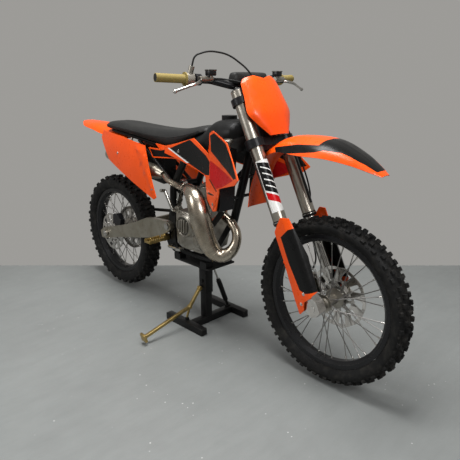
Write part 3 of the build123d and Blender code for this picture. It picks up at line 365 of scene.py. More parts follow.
class Form:
    """One new piece, built up from shapes in a bmesh in metres."""

    def __init__(self, name, slot, *materials):
        self.name = name
        self.slot = slot
        self.materials = materials or kit(slot)
        self.bm = bmesh.new()

    def settle(self, faces, soft, number):
        for face in faces:
            face.material_index = number
        bmesh.ops.recalc_face_normals(self.bm, faces=faces)
        if soft:
            edges = {e for face in faces for e in face.edges if len(e.link_faces) == 2}
            edges = [e for e in edges if e.calc_face_angle() > 0.5]
            bmesh.ops.bevel(self.bm, geom=edges, offset=soft * MM, segments=2, profile=0.5, affect="EDGES")

    def skin(self, rings, soft, number):
        """A closed skin over rings of points."""
        rings = [[self.bm.verts.new(spot) for spot in ring] for ring in rings]
        faces = [self.bm.faces.new(rings[0]), self.bm.faces.new(rings[-1])]
        for low, high in zip(rings, rings[1:]):
            faces += strip(self.bm, low, high)
        self.settle(faces, soft, number)

    def prism(self, outline, y_from, y_to, place, soft=0.0, number=0):
        """A side-view outline of (x, z) pairs carried across the bike."""
        self.skin([[place(x, y, z) for x, z in outline] for y in (y_from, y_to)], soft, number)

    def lathe(self, centre, axis, profile, sides, number=0):
        """A closed turned form from (height along the axis, radius) pairs."""
        turn = Vector(axis).to_track_quat("Z", "Y").to_matrix()
        rings = [[Vector(centre) + turn @ mm(a, b, height) for a, b in circle(sides, radius)]
                 for height, radius in profile]
        self.skin(rings, 0.0, number)

    def rod(self, start, end, radius, sides=16, number=0):
        way = Vector(end) - Vector(start)
        long = way.length / MM
        edge = min(radius * 0.15, long * 0.2)
        profile = [(0, radius - edge), (edge, radius), (long - edge, radius), (long, radius - edge)]
        self.lathe(start, way, profile, sides, number)

    def bolt(self, spot, axis, size, tall, number=0):
        """A flanged hexagon head."""
        flange = [(0, size * 1.35), (tall * 0.25, size * 1.35), (tall * 0.3, size * 1.05)]
        self.lathe(spot, axis, flange, 20, number)
        self.lathe(spot, axis, [(tall * 0.2, size), (tall * 0.85, size), (tall, size * 0.86)], 6, number)

    def bar(self, start, end, wide, tall, soft, level=(0, 0, 1), number=0):
        """A square-edged bar from one point to another."""
        way = Vector(end) - Vector(start)
        side = way.cross(Vector(level)).normalized() * wide * MM / 2
        up = side.cross(way).normalized() * tall * MM / 2
        corners = (side + up, up - side, -side - up, side - up)
        self.skin([[Vector(spot) + corner for corner in corners] for spot in (start, end)], soft, number)

    def tube(self, points, radius, sides, steps, number=0):
        """A smooth tube through points; radius is one number or one for each point."""
        radii = radius if isinstance(radius, list) else [radius] * len(points)
        run = [0.0]
        for a, b in zip(points, points[1:]):
            run.append(run[-1] + (Vector(b) - Vector(a)).length)
        lines = [smooth([(s, p[axis]) for s, p in zip(run, points)]) for axis in range(3)]
        girth = smooth(list(zip(run, radii)))
        count = (len(points) - 1) * steps
        spots = [Vector(line(run[-1] * k / count) for line in lines) for k in range(count + 1)]
        side = None
        rings = []
        for k, spot in enumerate(spots):
            way = (spots[min(k + 1, count)] - spots[max(k - 1, 0)]).normalized()
            side = (side - way * side.dot(way) if side else way.orthogonal()).normalized()
            up = way.cross(side)
            size = girth(run[-1] * k / count) * MM
            rings.append([spot + (side * a + up * b) * size for a, b in circle(sides, 1.0)])
        self.skin(rings, 0.0, number)

    def grid(self, rows, place=None, closed=False):
        """A surface from rows of local (x, y, z) points."""
        net = [[self.bm.verts.new(place(*spot) if place else spot) for spot in row] for row in rows]
        faces = []
        for low, high in zip(net, net[1:]):
            faces += strip(self.bm, low, high, closed)
        if closed:
            faces += [self.bm.faces.new(net[0]), self.bm.faces.new(net[-1])]
        self.settle(faces, 0.0, 0)

    def done(self, body, *replaced, thick=0.0, sharp=38):
        """Make the object; thick, in mm, turns an open surface into a sheet under it."""
        mesh = bpy.data.meshes.new(self.name)
        self.bm.to_mesh(mesh)
        self.bm.free()
        piece = new_object(self.name, mesh)
        for material in self.materials:
            mesh.materials.append(material)
        if thick:
            shell = piece.modifiers.new("sheet", "SOLIDIFY")
            shell.thickness = thick * MM
            shell.offset = -1.0
            settle_modifiers(piece)
        piece.data.shade_smooth()
        piece.data.set_sharp_from_angle(angle=math.radians(sharp))
        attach(piece, body)
        if replaced:
            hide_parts(*replaced)
        return piece


def settle_modifiers(piece):
    """Replace the mesh by what its modifiers make of it."""
    shaped = piece.evaluated_get(bpy.context.evaluated_depsgraph_get())
    mesh = bpy.data.meshes.new_from_object(shaped)
    piece.modifiers.clear()
    piece.data = mesh


# ---- bodywork ----
GLOSS_BLACK = painted("gloss_black_film", grey(0.006), 0.28, 0.0, 0.001, grey(0.06), 0.01, 0.16)
DEEP_RED = painted("deep_red_film", (0.50, 0.004, 0.005), 0.28, 0.0, 0.001, (0.4, 0.2, 0.2), 0.01, 0.2)
WHITE_FILM = painted("white_film", (0.72, 0.71, 0.68), 0.3, 0.2, 0.001, grey(0.5), 0.08)
BODY_PAINTS = (*kit("orange_plastic"), GLOSS_BLACK, DEEP_RED, WHITE_FILM)
BLACK, RED, WHITE = 1, 2, 3
MESH_STEP = 24
SHEET_LIFT = 4.0
CORNER = 5
WELD = 0.5


def grid_cuts(bm, axis, normal):
    """Cut a flat sheet across at even steps."""
    values = [v.co[axis] for v in bm.verts]
    cut_at = min(values) + MESH_STEP
    while cut_at < max(values) - 2:
        slice_mesh(bm, bm.faces[:], (cut_at, 0, cut_at), normal)
        cut_at += MESH_STEP


def moulding(name, outline, plan, levels, place, side, areas, body, *replaced, thick=4.0, folds=()):
    """A standing curved sheet cut to a side-view outline, with its colour areas and raised folds."""
    form = Form(name, "orange_plastic", *BODY_PAINTS)
    bm = form.bm
    bm.faces.new([bm.verts.new((x, 0, z)) for x, z in round_corners(outline, CORNER)])
    bmesh.ops.triangulate(bm, faces=bm.faces[:], ngon_method="EAR_CLIP")
    grid_cuts(bm, 0, (1, 0, 0))
    grid_cuts(bm, 2, (0, 0, 1))
    for fold, _ in folds:
        paint(bm, [(fold, 0)])
    paint(bm, areas)
    bmesh.ops.remove_doubles(bm, verts=bm.verts[:], dist=WELD)
    wide = smooth(plan)
    inward = smooth(levels)
    raised = {}
    for fold, height in folds:
        for vert in bm.verts:
            if all(inside(face.calc_center_median(), fold) for face in vert.link_faces):
                raised[vert] = height
    for vert in bm.verts:
        x, _, z = vert.co
        y = side * (wide(x) + SHEET_LIFT - inward(z) + raised.get(vert, 0.0))
        vert.co = place(x, y, z)
    face_out(bm, Vector((0, side, 0)))
    form.done(body, *replaced, thick=thick)


SHROUD_PLAN = [(480, 98), (620, 112), (800, 124), (935, 146), (1080, 180), (1220, 236)]
SHROUD_LEVELS = [(600, 3), (740, -2), (860, 0), (1050, 14)]
SHROUD_OUTLINE = [
    (500, 905), (600, 902), (700, 925), (813, 955), (930, 902), (942, 905), (938, 985), (962, 999),
    (1076, 959), (1192, 832), (1160, 806), (1030, 768), (994, 664), (970, 657), (928, 700), (915, 805),
    (700, 850), (560, 872),
]
SHROUD_WING = [
    (943, 977), (974, 990), (1066, 956), (1128, 898), (1176, 836), (1150, 828), (1056, 865), (958, 913),
]
SHROUD_AREAS = [
    ([(632, 894), (712, 922), (786, 946), (920, 890), (950, 868), (948, 812), (915, 808), (762, 845)],
     BLACK),
    ([(614, 893), (626, 896), (785, 843), (766, 841)], WHITE),
    (SHROUD_WING, BLACK),
    ([(953, 876), (1143, 822), (1050, 778), (1000, 762), (950, 800)], RED),
    ([(944, 794), (954, 796), (1009, 753), (1002, 749)], BLACK),
    ([(935, 738), (984, 733), (978, 728), (932, 728)], BLACK),
]
PANEL_PLAN = [(10, 118), (160, 140), (360, 152), (600, 152)]
PANEL_LEVELS = [(600, 0), (760, -4), (860, 2), (980, 24)]
PANEL_OUTLINE = [
    (46, 942), (270, 924), (480, 896), (504, 838), (566, 652), (545, 640), (141, 792), (30, 900),
]
PANEL_FOLD = [(396, 894), (476, 886), (496, 838), (554, 664), (540, 660), (452, 820)]
INSERT_OUTLINE = [(476, 886), (560, 884), (640, 900), (760, 846), (640, 846), (505, 838)]
INSERT_AREAS = [([(486, 880), (560, 877), (640, 892), (730, 852), (640, 851), (510, 844)], BLACK)]
GUARD_PLAN = [(-8, 118), (36, 123.5), (88, 119), (108, 84)]
GUARD_LEVELS = [(-40, 0), (200, 0), (420, 0)]
GUARD_OUTLINE = [
    (2, 326), (58, 372), (92, 358), (104, 200), (100, 60), (72, 44), (36, 34), (20, 2), (-8, -10), (-8, 60),
    (0, 200),
]
GUARD_AREA = [
    (28, 300), (76, 318), (96, 316), (130, 250), (130, 66), (98, 62), (58, 66), (36, 84), (26, 200),
]

for side, word in ((1, "left"), (-1, "right")):
    moulding("shroud_panel_" + word, SHROUD_OUTLINE, SHROUD_PLAN, SHROUD_LEVELS, at, side, SHROUD_AREAS,
             "root", "shroud_" + word, folds=[(SHROUD_WING, 3.0)])
    moulding("number_panel_" + word, PANEL_OUTLINE, PANEL_PLAN, PANEL_LEVELS, at, side, [],
             "root", "side_panel_" + word, folds=[(PANEL_FOLD, 3.0)])
    moulding("panel_insert_" + word, INSERT_OUTLINE, [(400, 132), (520, 118), (640, 106), (780, 112)],
             [(800, 0), (900, 2)], at, side, INSERT_AREAS, "root", thick=3.0)
for side, word in ((1, "left"), (-1, "right")):
    moulding("fork_shield_" + word, GUARD_OUTLINE, GUARD_PLAN, GUARD_LEVELS, steer, side,
             [(GUARD_AREA, BLACK)], "steering", *(("fork_guards",) if side > 0 else ()))

ARCH = smooth([(0.0, 0.0), (0.5, 0.12), (0.86, 0.52), (1.0, 1.0)])
ARCH_ROWS = 56
ARCH_COLUMNS = 28


def arched(name, path, place, facing, areas, body, *replaced, relief=None, notch=0.0):
    """A smooth thin arch along a path of (ahead, up, half width, edge drop)."""
    form = Form(name, "orange_plastic", *BODY_PAINTS)
    run = [0.0]
    for a, b in zip(path, path[1:]):
        run.append(run[-1] + math.hypot(b[0] - a[0], b[1] - a[1]))
    lines = [smooth([(s, p[k]) for s, p in zip(run, path)]) for k in range(4)]
    net = []
    for i in range(ARCH_ROWS + 1):
        along = i / ARCH_ROWS
        s = run[-1] * i / ARCH_ROWS
        ahead, up, half, drop = (line(s) for line in lines)
        way = Vector((lines[0](s + 0.5) - ahead, lines[1](s + 0.5) - up)).normalized()
        out = Vector((-way.y, way.x)) * facing
        row = []
        for j in range(ARCH_COLUMNS + 1):
            w = 2 * j / ARCH_COLUMNS - 1
            sunk = -drop * ARCH(abs(w))
            if relief:
                sunk += relief(abs(w), along)
            dip = notch * max(0.0, 1 - abs(w) / 0.5) * along ** 8
            row.append((ahead + out.x * sunk - way.x * dip, w * half, up + out.y * sunk - way.y * dip))
        net.append(row)
    form.grid(net)
    paint(form.bm, areas)
    bmesh.ops.remove_doubles(form.bm, verts=form.bm.verts[:], dist=WELD)
    for vert in form.bm.verts:
        vert.co = place(*vert.co)
    before, middle = path[len(path) // 2 - 1:len(path) // 2 + 1]
    way = Vector((middle[0] - before[0], middle[1] - before[1])).normalized()
    face_out(form.bm, place(-way.y * facing, 0, way.x * facing) - place(0, 0, 0))
    form.done(body, *replaced, thick=3.2)


def ramp(value, start, length):
    """0 up to start, 1 from start and length on."""
    return min(1.0, max(0.0, (value - start) / length))


def fender_relief(w, along):
    """Side channels between a raised middle deck and the lower flange."""
    share = ramp(along, 0.30, 0.08) * ramp(-along, -0.70, 0.10)
    channel = ramp(w, 0.36, 0.08) * ramp(-w, -0.72, 0.08)
    return -7.0 * share * channel


REAR_FENDER = [
    (-294, 973, 44, 8), (-230, 972, 74, 26), (-120, 968, 86, 36), (0, 944, 84, 34), (60, 930, 74, 22),
    (150, 900, 60, 16),
]
FRONT_FENDER = [
    (-150, 466, 74, 6), (-112, 540, 64, 10), (-50, 612, 56, 16), (20, 650, 57, 24), (90, 660, 78, 40),
    (160, 655, 100, 58), (250, 620, 113, 66), (330, 569, 114, 56), (402, 488, 82, 32), (446, 421, 48, 14),
    (464, 389, 26, 6),
]
FENDER_AREAS = [
    ([(92, 640), (220, 604), (330, 556), (338, 540), (290, 548), (200, 578), (104, 610)], BLACK),
    ([(318, 590), (352, 566), (425, 478), (458, 408), (450, 408), (424, 446), (392, 486), (368, 512),
      (292, 560)], BLACK),
]
NUMBER_PLATE = [
    (96, 690, 56, 14), (102, 740, 96, 30), (106, 790, 124, 42), (102, 860, 114, 38), (94, 925, 104, 32),
    (90, 942, 92, 28),
]
arched("rear_mudguard", REAR_FENDER, at, 1, [], "root", "rear_fender")
arched("front_mudguard", FRONT_FENDER, steer, 1, FENDER_AREAS, "steering", "front_fender",
       relief=fender_relief)
arched("front_plate", NUMBER_PLATE, steer, -1, [], "steering", "number_plate", notch=16.0)


# ---- tyres ----
def knob(form, centre, angle, y, foot_r, tilt, wide, long, tall):
    """One tread block: wide across the tyre, long round it, leaning out by tilt degrees."""
    out = Vector((math.cos(angle), 0, math.sin(angle)))
    along = Vector((-math.sin(angle), 0, math.cos(angle)))
    across = Vector((0, 1, 0))
    lean = math.radians(tilt) * (1 if y >= 0 else -1)
    up = out * math.cos(lean) + across * math.sin(lean)
    side = across * math.cos(lean) - out * math.sin(lean)
    foot = centre + (out * foot_r + across * y) * MM
    rings = []
    for height, share in ((-3.0, 1.12), (tall, 0.9)):
        ring = []
        for a, b in ((-1, -1), (1, -1), (1, 1), (-1, 1)):
            corner = side * (a * wide * share / 2) + along * (b * long * share / 2)
            ring.append(form.bm.verts.new(foot + (up * height + corner) * MM))
        rings.append(ring)
    top = form.bm.faces.new(rings[1])
    faces = [top] + strip(form.bm, *rings)
    bmesh.ops.recalc_face_normals(form.bm, faces=faces)
    if top.normal.dot(up) < 0:
        bmesh.ops.reverse_faces(form.bm, faces=faces)
    bmesh.ops.bevel(form.bm, geom=list(top.edges), offset=1.3 * MM, segments=1, profile=0.5, affect="EDGES")


TYRE_STEPS = 144


def knobbly(name, centre, half_profile, tip, shoulder, rows, body, *replaced):
    """A tyre: its carcass turned from (y, radius) pairs, with four kinds of tread block."""
    form = Form(name, "tyre")
    profile = half_profile + [(-y, r) for y, r in reversed(half_profile[:-1])]
    y_line = smooth([(k, p[0]) for k, p in enumerate(profile)])
    r_line = smooth([(k, p[1]) for k, p in enumerate(profile)])
    fine = [(y_line(k / 3), r_line(k / 3)) for k in range(3 * (len(profile) - 1) + 1)]
    net = []
    for a, b in circle(TYRE_STEPS, 1.0):
        net.append([form.bm.verts.new(centre + mm(r * a, y, r * b)) for y, r in fine])
    faces = []
    for k in range(TYRE_STEPS):
        faces += strip(form.bm, net[k - 1], net[k])
    bmesh.ops.recalc_face_normals(form.bm, faces=faces)
    turn = 2 * math.pi / rows
    out_y, out_r, lean = shoulder
    for k in range(rows):
        angle = turn * k
        if k % 2:
            knob(form, centre, angle, 0, tip - 13.2, 0, 27, 15, 12.6)
        else:
            for side in (-1, 1):
                knob(form, centre, angle, side * 11, tip - 14.2, 5, 15, 18, 13.4)
        for side in (-1, 1):
            between = angle + turn * 0.5
            stagger = turn * (0.06 if k % 2 else -0.06)
            knob(form, centre, between, side * out_y * 0.66, tip - 17.5, 17, 15, 17, 13.5)
            knob(form, centre, angle + stagger, side * out_y, out_r, lean, 13, 17, 12.0)
            knob(form, centre, between, side * (out_y + 1.5), out_r - 5, lean + 12, 7, 11, 7.5)
    form.done(body, *replaced, sharp=30)


knobbly("front_knobbly", FRONT_AXLE,
        [(23, 277), (28, 279), (35, 287), (41, 299), (42.5, 310), (39, 319), (31, 326), (17, 330),
         (0, 331.5)],
        344.5, (33.5, 320.5, 36), 34, "front_wheel", "front_tyre")
knobbly("rear_knobbly", REAR_AXLE,
        [(32, 252), (37, 254), (44, 263), (49, 277), (49.5, 292), (46, 303), (37, 311), (20, 316), (0, 318)],
        331, (40, 306, 36), 32, "rear_wheel", "rear_tyre")

# ---- seat, tank and pad ----
TANK = [
    (690, [(0, 940), (40, 936), (56, 915), (60, 890)]),
    (800, [(0, 975), (56, 968), (78, 940), (84, 880)]),
    (880, [(0, 1030), (52, 1022), (86, 980), (94, 880)]),
    (990, [(0, 1036), (48, 1030), (82, 1000), (88, 950)]),
    (1040, [(0, 1010), (34, 1005), (50, 990), (52, 975)]),
]
SEAT = [
    (14, [(0, 984), (60, 982), (82, 966), (78, 952)]),
    (140, [(0, 982), (66, 980), (92, 960), (88, 944)]),
    (300, [(0, 974), (66, 971), (90, 948), (84, 926)]),
    (460, [(0, 968), (62, 965), (84, 936), (80, 906)]),
    (580, [(0, 970), (58, 966), (78, 934), (74, 900)]),
    (700, [(0, 984), (52, 980), (72, 955), (70, 944)]),
    (827, [(0, 1010), (46, 1006), (64, 990), (62, 984)]),
]
PILLOW_ROWS = 60


def pillow(name, slot, sections, body, *replaced, round_back, round_front):
    """A long form with a smooth crowned top and a flat base, rounded at its ends."""
    form = Form(name, slot)
    first, last = sections[0][0], sections[-1][0]
    lines = [[smooth([(x, half[k][axis]) for x, half in sections]) for axis in (0, 1)] for k in range(4)]
    net = []
    for i in range(PILLOW_ROWS + 1):
        t = i / PILLOW_ROWS
        x = first + (last - first) * t
        keys = [(lines[k][0](x) if k else 0.0, lines[k][1](x)) for k in range(4)]
        y_line = smooth([(k, keys[k][0]) for k in range(4)])
        z_line = smooth([(k, keys[k][1]) for k in range(4)])
        base = keys[3][1]
        near = min((x - first) / round_back, (last - x) / round_front, 1.0)
        shrink = 0.35 + 0.65 * math.sqrt(max(0.0, 1 - (1 - near) ** 2))
        half = []
        for k in range(19):
            u = 3 * k / 18
            y = y_line(u) * (0.75 + 0.25 * shrink)
            z = base + (z_line(u) - base) * shrink
            half.append((max(y, 0.0) if k else 0.0, z))
        row = [(x, -y, z) for y, z in reversed(half[1:])] + [(x, y, z) for y, z in half]
        net.append(row)
    form.grid(net, at, closed=True)
    return form.done(body, *replaced, sharp=60)


CLOTH_CAP = 4.0
CLOTH_FRAMES = 20


def stuffed(piece, voxel, pull, pressure):
    """Remesh a padded piece and let its cover swell as cloth, no point by more than the cap."""
    remesh = piece.modifiers.new("remesh", "REMESH")
    remesh.mode = "VOXEL"
    remesh.voxel_size = voxel * MM
    settle_modifiers(piece)
    start = [v.co.copy() for v in piece.data.vertices]
    cloth = piece.modifiers.new("cover", "CLOTH")
    cloth.settings.use_pressure = True
    cloth.settings.uniform_pressure_force = pressure
    cloth.settings.effector_weights.gravity = 0
    cloth.settings.tension_stiffness = pull
    cloth.settings.compression_stiffness = pull
    cloth.collision_settings.use_collision = False
    for frame_number in range(1, CLOTH_FRAMES + 1):
        bpy.context.scene.frame_set(frame_number)
    settle_modifiers(piece)
    bpy.context.scene.frame_set(1)
    for vert, before in zip(piece.data.vertices, start):
        moved = vert.co - before
        if moved.length > CLOTH_CAP * MM:
            vert.co = before + moved.normalized() * CLOTH_CAP * MM
    piece.modifiers.new("even", "SMOOTH").iterations = 4
    settle_modifiers(piece)
    piece.data.shade_smooth()
    piece.data.materials.clear()
    piece.data.materials.append(MATERIALS["black_vinyl"])


pillow("tank_shell", "black_plastic", TANK, "root", "fuel_tank", round_back=40, round_front=30)
seat = pillow("seat_cushion", "black_vinyl", SEAT, "root", "seat", round_back=30, round_front=24)
stuffed(seat, 6.0, 30.0, 2.0)
seam_form = Form("seat_welts", "black_vinyl")
seat_keys = [[smooth([(x, half[k][axis]) for x, half in SEAT]) for axis in (0, 1)] for k in range(4)]
for side in (-1, 1):
    welt = [at(x, side * (seat_keys[2][0](x) + 0.5), seat_keys[2][1](x) + 3) for x in range(40, 800, 20)]
    seam_form.tube(welt, 1.6, 8, 2)
seam_form.done("root")


# ---- bar pad ----
BAR_CENTRE = steer(4, 0, 936)
PAD_OUTLINE = [(-20, 6), (22, 6), (27, 22), (19, 54), (-15, 54), (-25, 22)]
PAD_HALF = 98
pad_form = Form("bar_cushion", "black_vinyl")
pad_rings = []
for k in range(25):
    y = -PAD_HALF + 2 * PAD_HALF * k / 24
    end = min(1.0, (PAD_HALF - abs(y)) / 14)
    share = 0.72 + 0.28 * math.sqrt(max(0.0, 1 - (1 - end) ** 2))
    pad_rings.append([(x * share, y, 30 + (z - 30) * share) for x, z in round_corners(PAD_OUTLINE, 9)])
pad_form.grid(pad_rings, lambda x, y, z: BAR_CENTRE + mm(x, y, z), closed=True)
pad = pad_form.done("steering", "bar_pad", sharp=60)
stuffed(pad, 5.0, 20.0, 4.0)


# ---- fork trim ----
def fork_axis(side, height):
    return steer(FORK_AHEAD, side * FORK_HALF, height)


trim = Form("fork_trim", "black_rubber", *kit("black_rubber", "bright_steel", "black_aluminium"))
for side in (-1, 1):
    low = fork_axis(side, 345)
    trim.lathe(low, STEER_UP, [(0, 25), (2, 29), (11, 30.5), (14, 30.5), (16, 28.6), (19, 28.6)], 40)
    trim.lathe(low + STEER_UP * 11 * MM, STEER_UP, [(0, 30.8), (2.4, 30.8)], 40, 1)
    top = fork_axis(side, 904)
    trim.lathe(top, STEER_UP, [(0, 27.4), (3, 27.4), (4, 25), (6, 24), (7, 15), (8, 15)], 40, 2)
    trim.lathe(top + STEER_UP * 7 * MM, STEER_UP, [(0, 13), (6, 13), (7.5, 11.5)], 6, 2)
    trim.lathe(top + STEER_UP * 13 * MM, STEER_UP, [(0, 6), (4, 6), (5, 4.5)], 16, 1)
trim.done("steering")


FILM_R = 28.4
FILM_LOW = 398
FILM_HIGH = 610


def wrapped(name, side, start, end, areas, films):
    """A film round a fork tube from one angle to another, its areas in (mm round the tube, height) pairs."""
    form = Form(name, "black_plastic", *films)
    count_up = int((FILM_HIGH - FILM_LOW) / 8)
    wide = math.radians(end - start) * FILM_R
    net = []
    for i in range(count_up + 1):
        net.append([(wide * j / 30, 0, FILM_LOW + (FILM_HIGH - FILM_LOW) * i / count_up) for j in range(31)])
    form.grid(net)
    paint(form.bm, areas)
    for vert in form.bm.verts:
        angle = math.radians(start) + vert.co.x / FILM_R
        ahead, out = FILM_R * math.cos(angle), FILM_R * math.sin(angle)
        vert.co = steer(FORK_AHEAD + ahead, side * (FORK_HALF + out), vert.co.z)
    bmesh.ops.recalc_face_normals(form.bm, faces=form.bm.faces[:])
    form.done("steering", thick=0.3)


FILMS = (WHITE_FILM, GLOSS_BLACK, DEEP_RED)
FILM_AREAS = [([(3, 462), (57, 492), (57, 606), (3, 592)], 1)]
for k in range(4):
    FILM_AREAS.append(([(3, 484 + 25 * k), (46, 508 + 25 * k), (46, 513 + 25 * k), (3, 489 + 25 * k)], 0))
FILM_AREAS.append(([(3, 424), (57, 454), (57, 484), (3, 454)], 2))
wrapped("fork_film_right", -1, -28, 94, FILM_AREAS, FILMS)
wrapped("fork_film_left", 1, -14, 30, [], (GLOSS_BLACK,))


# ---- brakes ----
WAVES = 10
DISC_HALF = 1.75


def wave_disc(name, centre, y_mid, radius, inner_r, carrier, body, replaced):
    """A brake disc with a wavy edge, slanted windows and a spidered carrier."""
    def around(x, y, z):
        return centre + mm(x, y, z)

    outline = []
    for a, b in circle(WAVES * 12, 1.0):
        reach = radius - 3.0 * (1 - math.cos(WAVES * math.atan2(b, a))) / 2
        outline.append((reach * a, reach * b))
    form = Form(name, "bright_steel")
    form.prism(outline, y_mid - DISC_HALF, y_mid + DISC_HALF, around)
    plate = form.done(body, replaced)
    cutter = Form("cutter", "bright_steel")
    band_in = inner_r + 0.16 * (radius - inner_r)
    band_out = radius - 0.2 * (radius - inner_r)
    for k in range(WAVES):
        window = []
        for reach, share in ((band_in, 0.34), (band_out, 0.16), (band_out, -0.34), (band_in, -0.1)):
            angle = 2 * math.pi * (k + share) / WAVES
            window.append((reach * math.cos(angle), reach * math.sin(angle)))
        cutter.prism(round_corners(window, 7, 3), y_mid - 6, y_mid + 6, around)
    cutter.prism(circle(60, inner_r), y_mid - 6, y_mid + 6, around)
    tool = cutter.done(body)
    cut = plate.modifiers.new("windows", "BOOLEAN")
    cut.operation = "DIFFERENCE"
    cut.solver = "EXACT"
    cut.object = tool
    settle_modifiers(plate)
    bpy.data.objects.remove(tool)
    plate.data.shade_smooth()
    plate.data.set_sharp_from_angle(angle=math.radians(35))
    spider = Form(name + "_carrier", "anodised_aluminium")
    inward = 1 if y_mid < 0 else -1
    for k in range(WAVES):
        angle = 2 * math.pi * (k + 0.5) / WAVES
        way = Vector((math.cos(angle), 0, math.sin(angle)))
        lean = Vector((math.cos(angle + 0.28), 0, math.sin(angle + 0.28)))
        middle = around(0, y_mid, 0)
        spider.bar(middle + way * 40 * MM, middle + lean * (inner_r + 3) * MM, 12, 5, 1.0, (0, 1, 0))
        head = middle + lean * (inner_r + 4) * MM
        spider.lathe(head - mm(0, 4, 0), (0, 1, 0), [(0, 7), (1, 8), (7, 8), (8, 7)], 16)
    spider.lathe(around(0, y_mid - 4, 0), (0, 1, 0), [(0, 46), (1, 47), (7, 47), (8, 46)], 48)
    low = min(y_mid + inward * carrier, y_mid)
    spider.lathe(around(0, low, 0), (0, 1, 0), [(0, 34), (carrier, 34)], 40)
    for a, b in circle(6, 38):
        spider.bolt(around(a, y_mid - inward * 4, b), (0, -inward, 0), 4.2, 4)
    spider.done(body)


wave_disc("front_wave_disc", FRONT_AXLE, 57, 130, 66, 14, "front_wheel", "front_disc")
wave_disc("rear_wave_disc", REAR_AXLE, -68, 110, 62, 16, "rear_wheel", "rear_disc")

# ---- engine ----
CLUTCH = at(716, 0, 532)
PUMP = at(800, 0, 470)
SIDE_OUTLINE = [
    (640, 440), (656, 418), (790, 418), (832, 446), (846, 500), (836, 560), (780, 585), (640, 600),
    (636, 560),
]


def off(centre, x, y, z):
    return centre + mm(x, y, z)


def out_from(centre, y):
    return centre + Vector((0, y * MM, 0))


OUT_RIGHT = (0, -1, 0)
OUT_LEFT = (0, 1, 0)
UP = (0, 0, 1)
covers = Form("engine_side_covers", "cast_alloy")
covers.prism(round_corners(SIDE_OUTLINE, 14), -94, -74, at, 2.0)
covers.lathe(out_from(CLUTCH, -93), OUT_RIGHT, [(0, 66), (6, 66), (8, 64), (9, 59), (20, 54), (22, 52)], 64)
covers.lathe(out_from(CLUTCH, -113), OUT_RIGHT, [(0, 52), (5, 51), (6, 49.5), (6, 46), (2, 45)], 64)
for shift in (-26, -10, 8, 26):
    tall = 36 - abs(shift) * 0.42
    foot = out_from(CLUTCH, -118) + mm(shift, 0, -tall)
    covers.bar(foot, off(foot, 4, 0, 2 * tall), 7, 8, 1.6, (0, 1, 0))
covers.lathe(out_from(PUMP, -93), OUT_RIGHT, [(0, 30), (12, 29), (15, 26), (16, 18), (21, 16), (22, 14)], 48)
pump_side = out_from(PUMP, -101)
covers.rod(off(pump_side, 18, 0, 14), off(pump_side, 52, 0, 42), 9)
covers.lathe(at(648, -74, 598), OUT_RIGHT, [(0, 18), (24, 18), (26, 16)], 32)
for x, z in circle(8, 62):
    covers.bolt(out_from(CLUTCH, -99) + mm(x, 0, z), OUT_RIGHT, 3.6, 4.5)
for x, z in ((652, 436), (700, 424), (760, 424), (806, 438), (838, 500), (826, 556), (652, 586), (770, 578)):
    covers.bolt(at(x, -93, z), OUT_RIGHT, 3.8, 4.5)
covers.lathe(at(780, 60, 500), OUT_LEFT, [(0, 54), (9, 54), (12, 50), (13, 42), (17, 39), (18, 36)], 56)
for x, z in circle(5, 47, 0.2):
    covers.bolt(at(780 + x, 71, 500 + z), OUT_LEFT, 3.6, 4)
covers.done("root", "engine_covers")

top_end = Form("top_end_fittings", "bright_steel", *kit("bright_steel", "black_rubber", "cast_alloy"))
for x, y in circle(6, 46, 0.5):
    top_end.bolt(at(790 + x, y, 721), UP, 5.4, 9)
for x in (736, 842):
    for y in (-50, 50):
        top_end.bolt(at(x, y, 598), UP, 5.0, 8)
top_end.prism(round_corners([(762, 616), (824, 616), (824, 674), (762, 674)], 14), -58, -43, at, 3.0, 2)
for x, z in ((768, 622), (818, 622), (768, 668), (818, 668)):
    top_end.bolt(at(x, -58, z), OUT_RIGHT, 3.4, 4)
top_end.lathe(at(790, 0, 752), UP, [(0, 10), (3, 12), (16, 12), (18, 10)], 24, 1)
top_end.tube([at(790, 0, 766), at(784, 4, 790), at(752, 18, 806), at(716, 30, 812)], 4.2, 12, 6, 1)
top_end.done("root")

hoses = Form("coolant_hoses", "black_rubber", *kit("black_rubber", "bright_steel"))
pump_out = off(pump_side, 46, 0, 37)
hoses.tube([pump_out, at(884, -104, 548), at(930, -92, 606), at(976, -84, 668)], 13, 20, 8)
hoses.tube([at(860, 26, 726), at(900, 34, 748), at(950, 48, 800), at(988, 66, 842)], 13, 20, 8)
hoses.lathe(off(pump_out, 6, 0, 6), (38, 0, 28), [(0, 14.2), (8, 14.2)], 24, 1)
hoses.lathe(at(962, -87, 650), (40, 8, 60), [(0, 14.2), (8, 14.2)], 24, 1)
hoses.done("root")

neck = Form("filler_neck", "cast_alloy")
neck.lathe(at(1004, -98, 915), (0.06, 0, 1), [(0, 12), (30, 12), (31, 17), (35, 17)], 32)
neck.lathe(at(1006, -98, 950), (0.06, 0, 1), [(0, 20), (2, 22), (8, 22), (10, 20), (11, 12), (14, 11)], 32)
neck.bar(at(984, -98, 961), at(1030, -98, 963), 9, 5, 1.5)
neck.done("root")

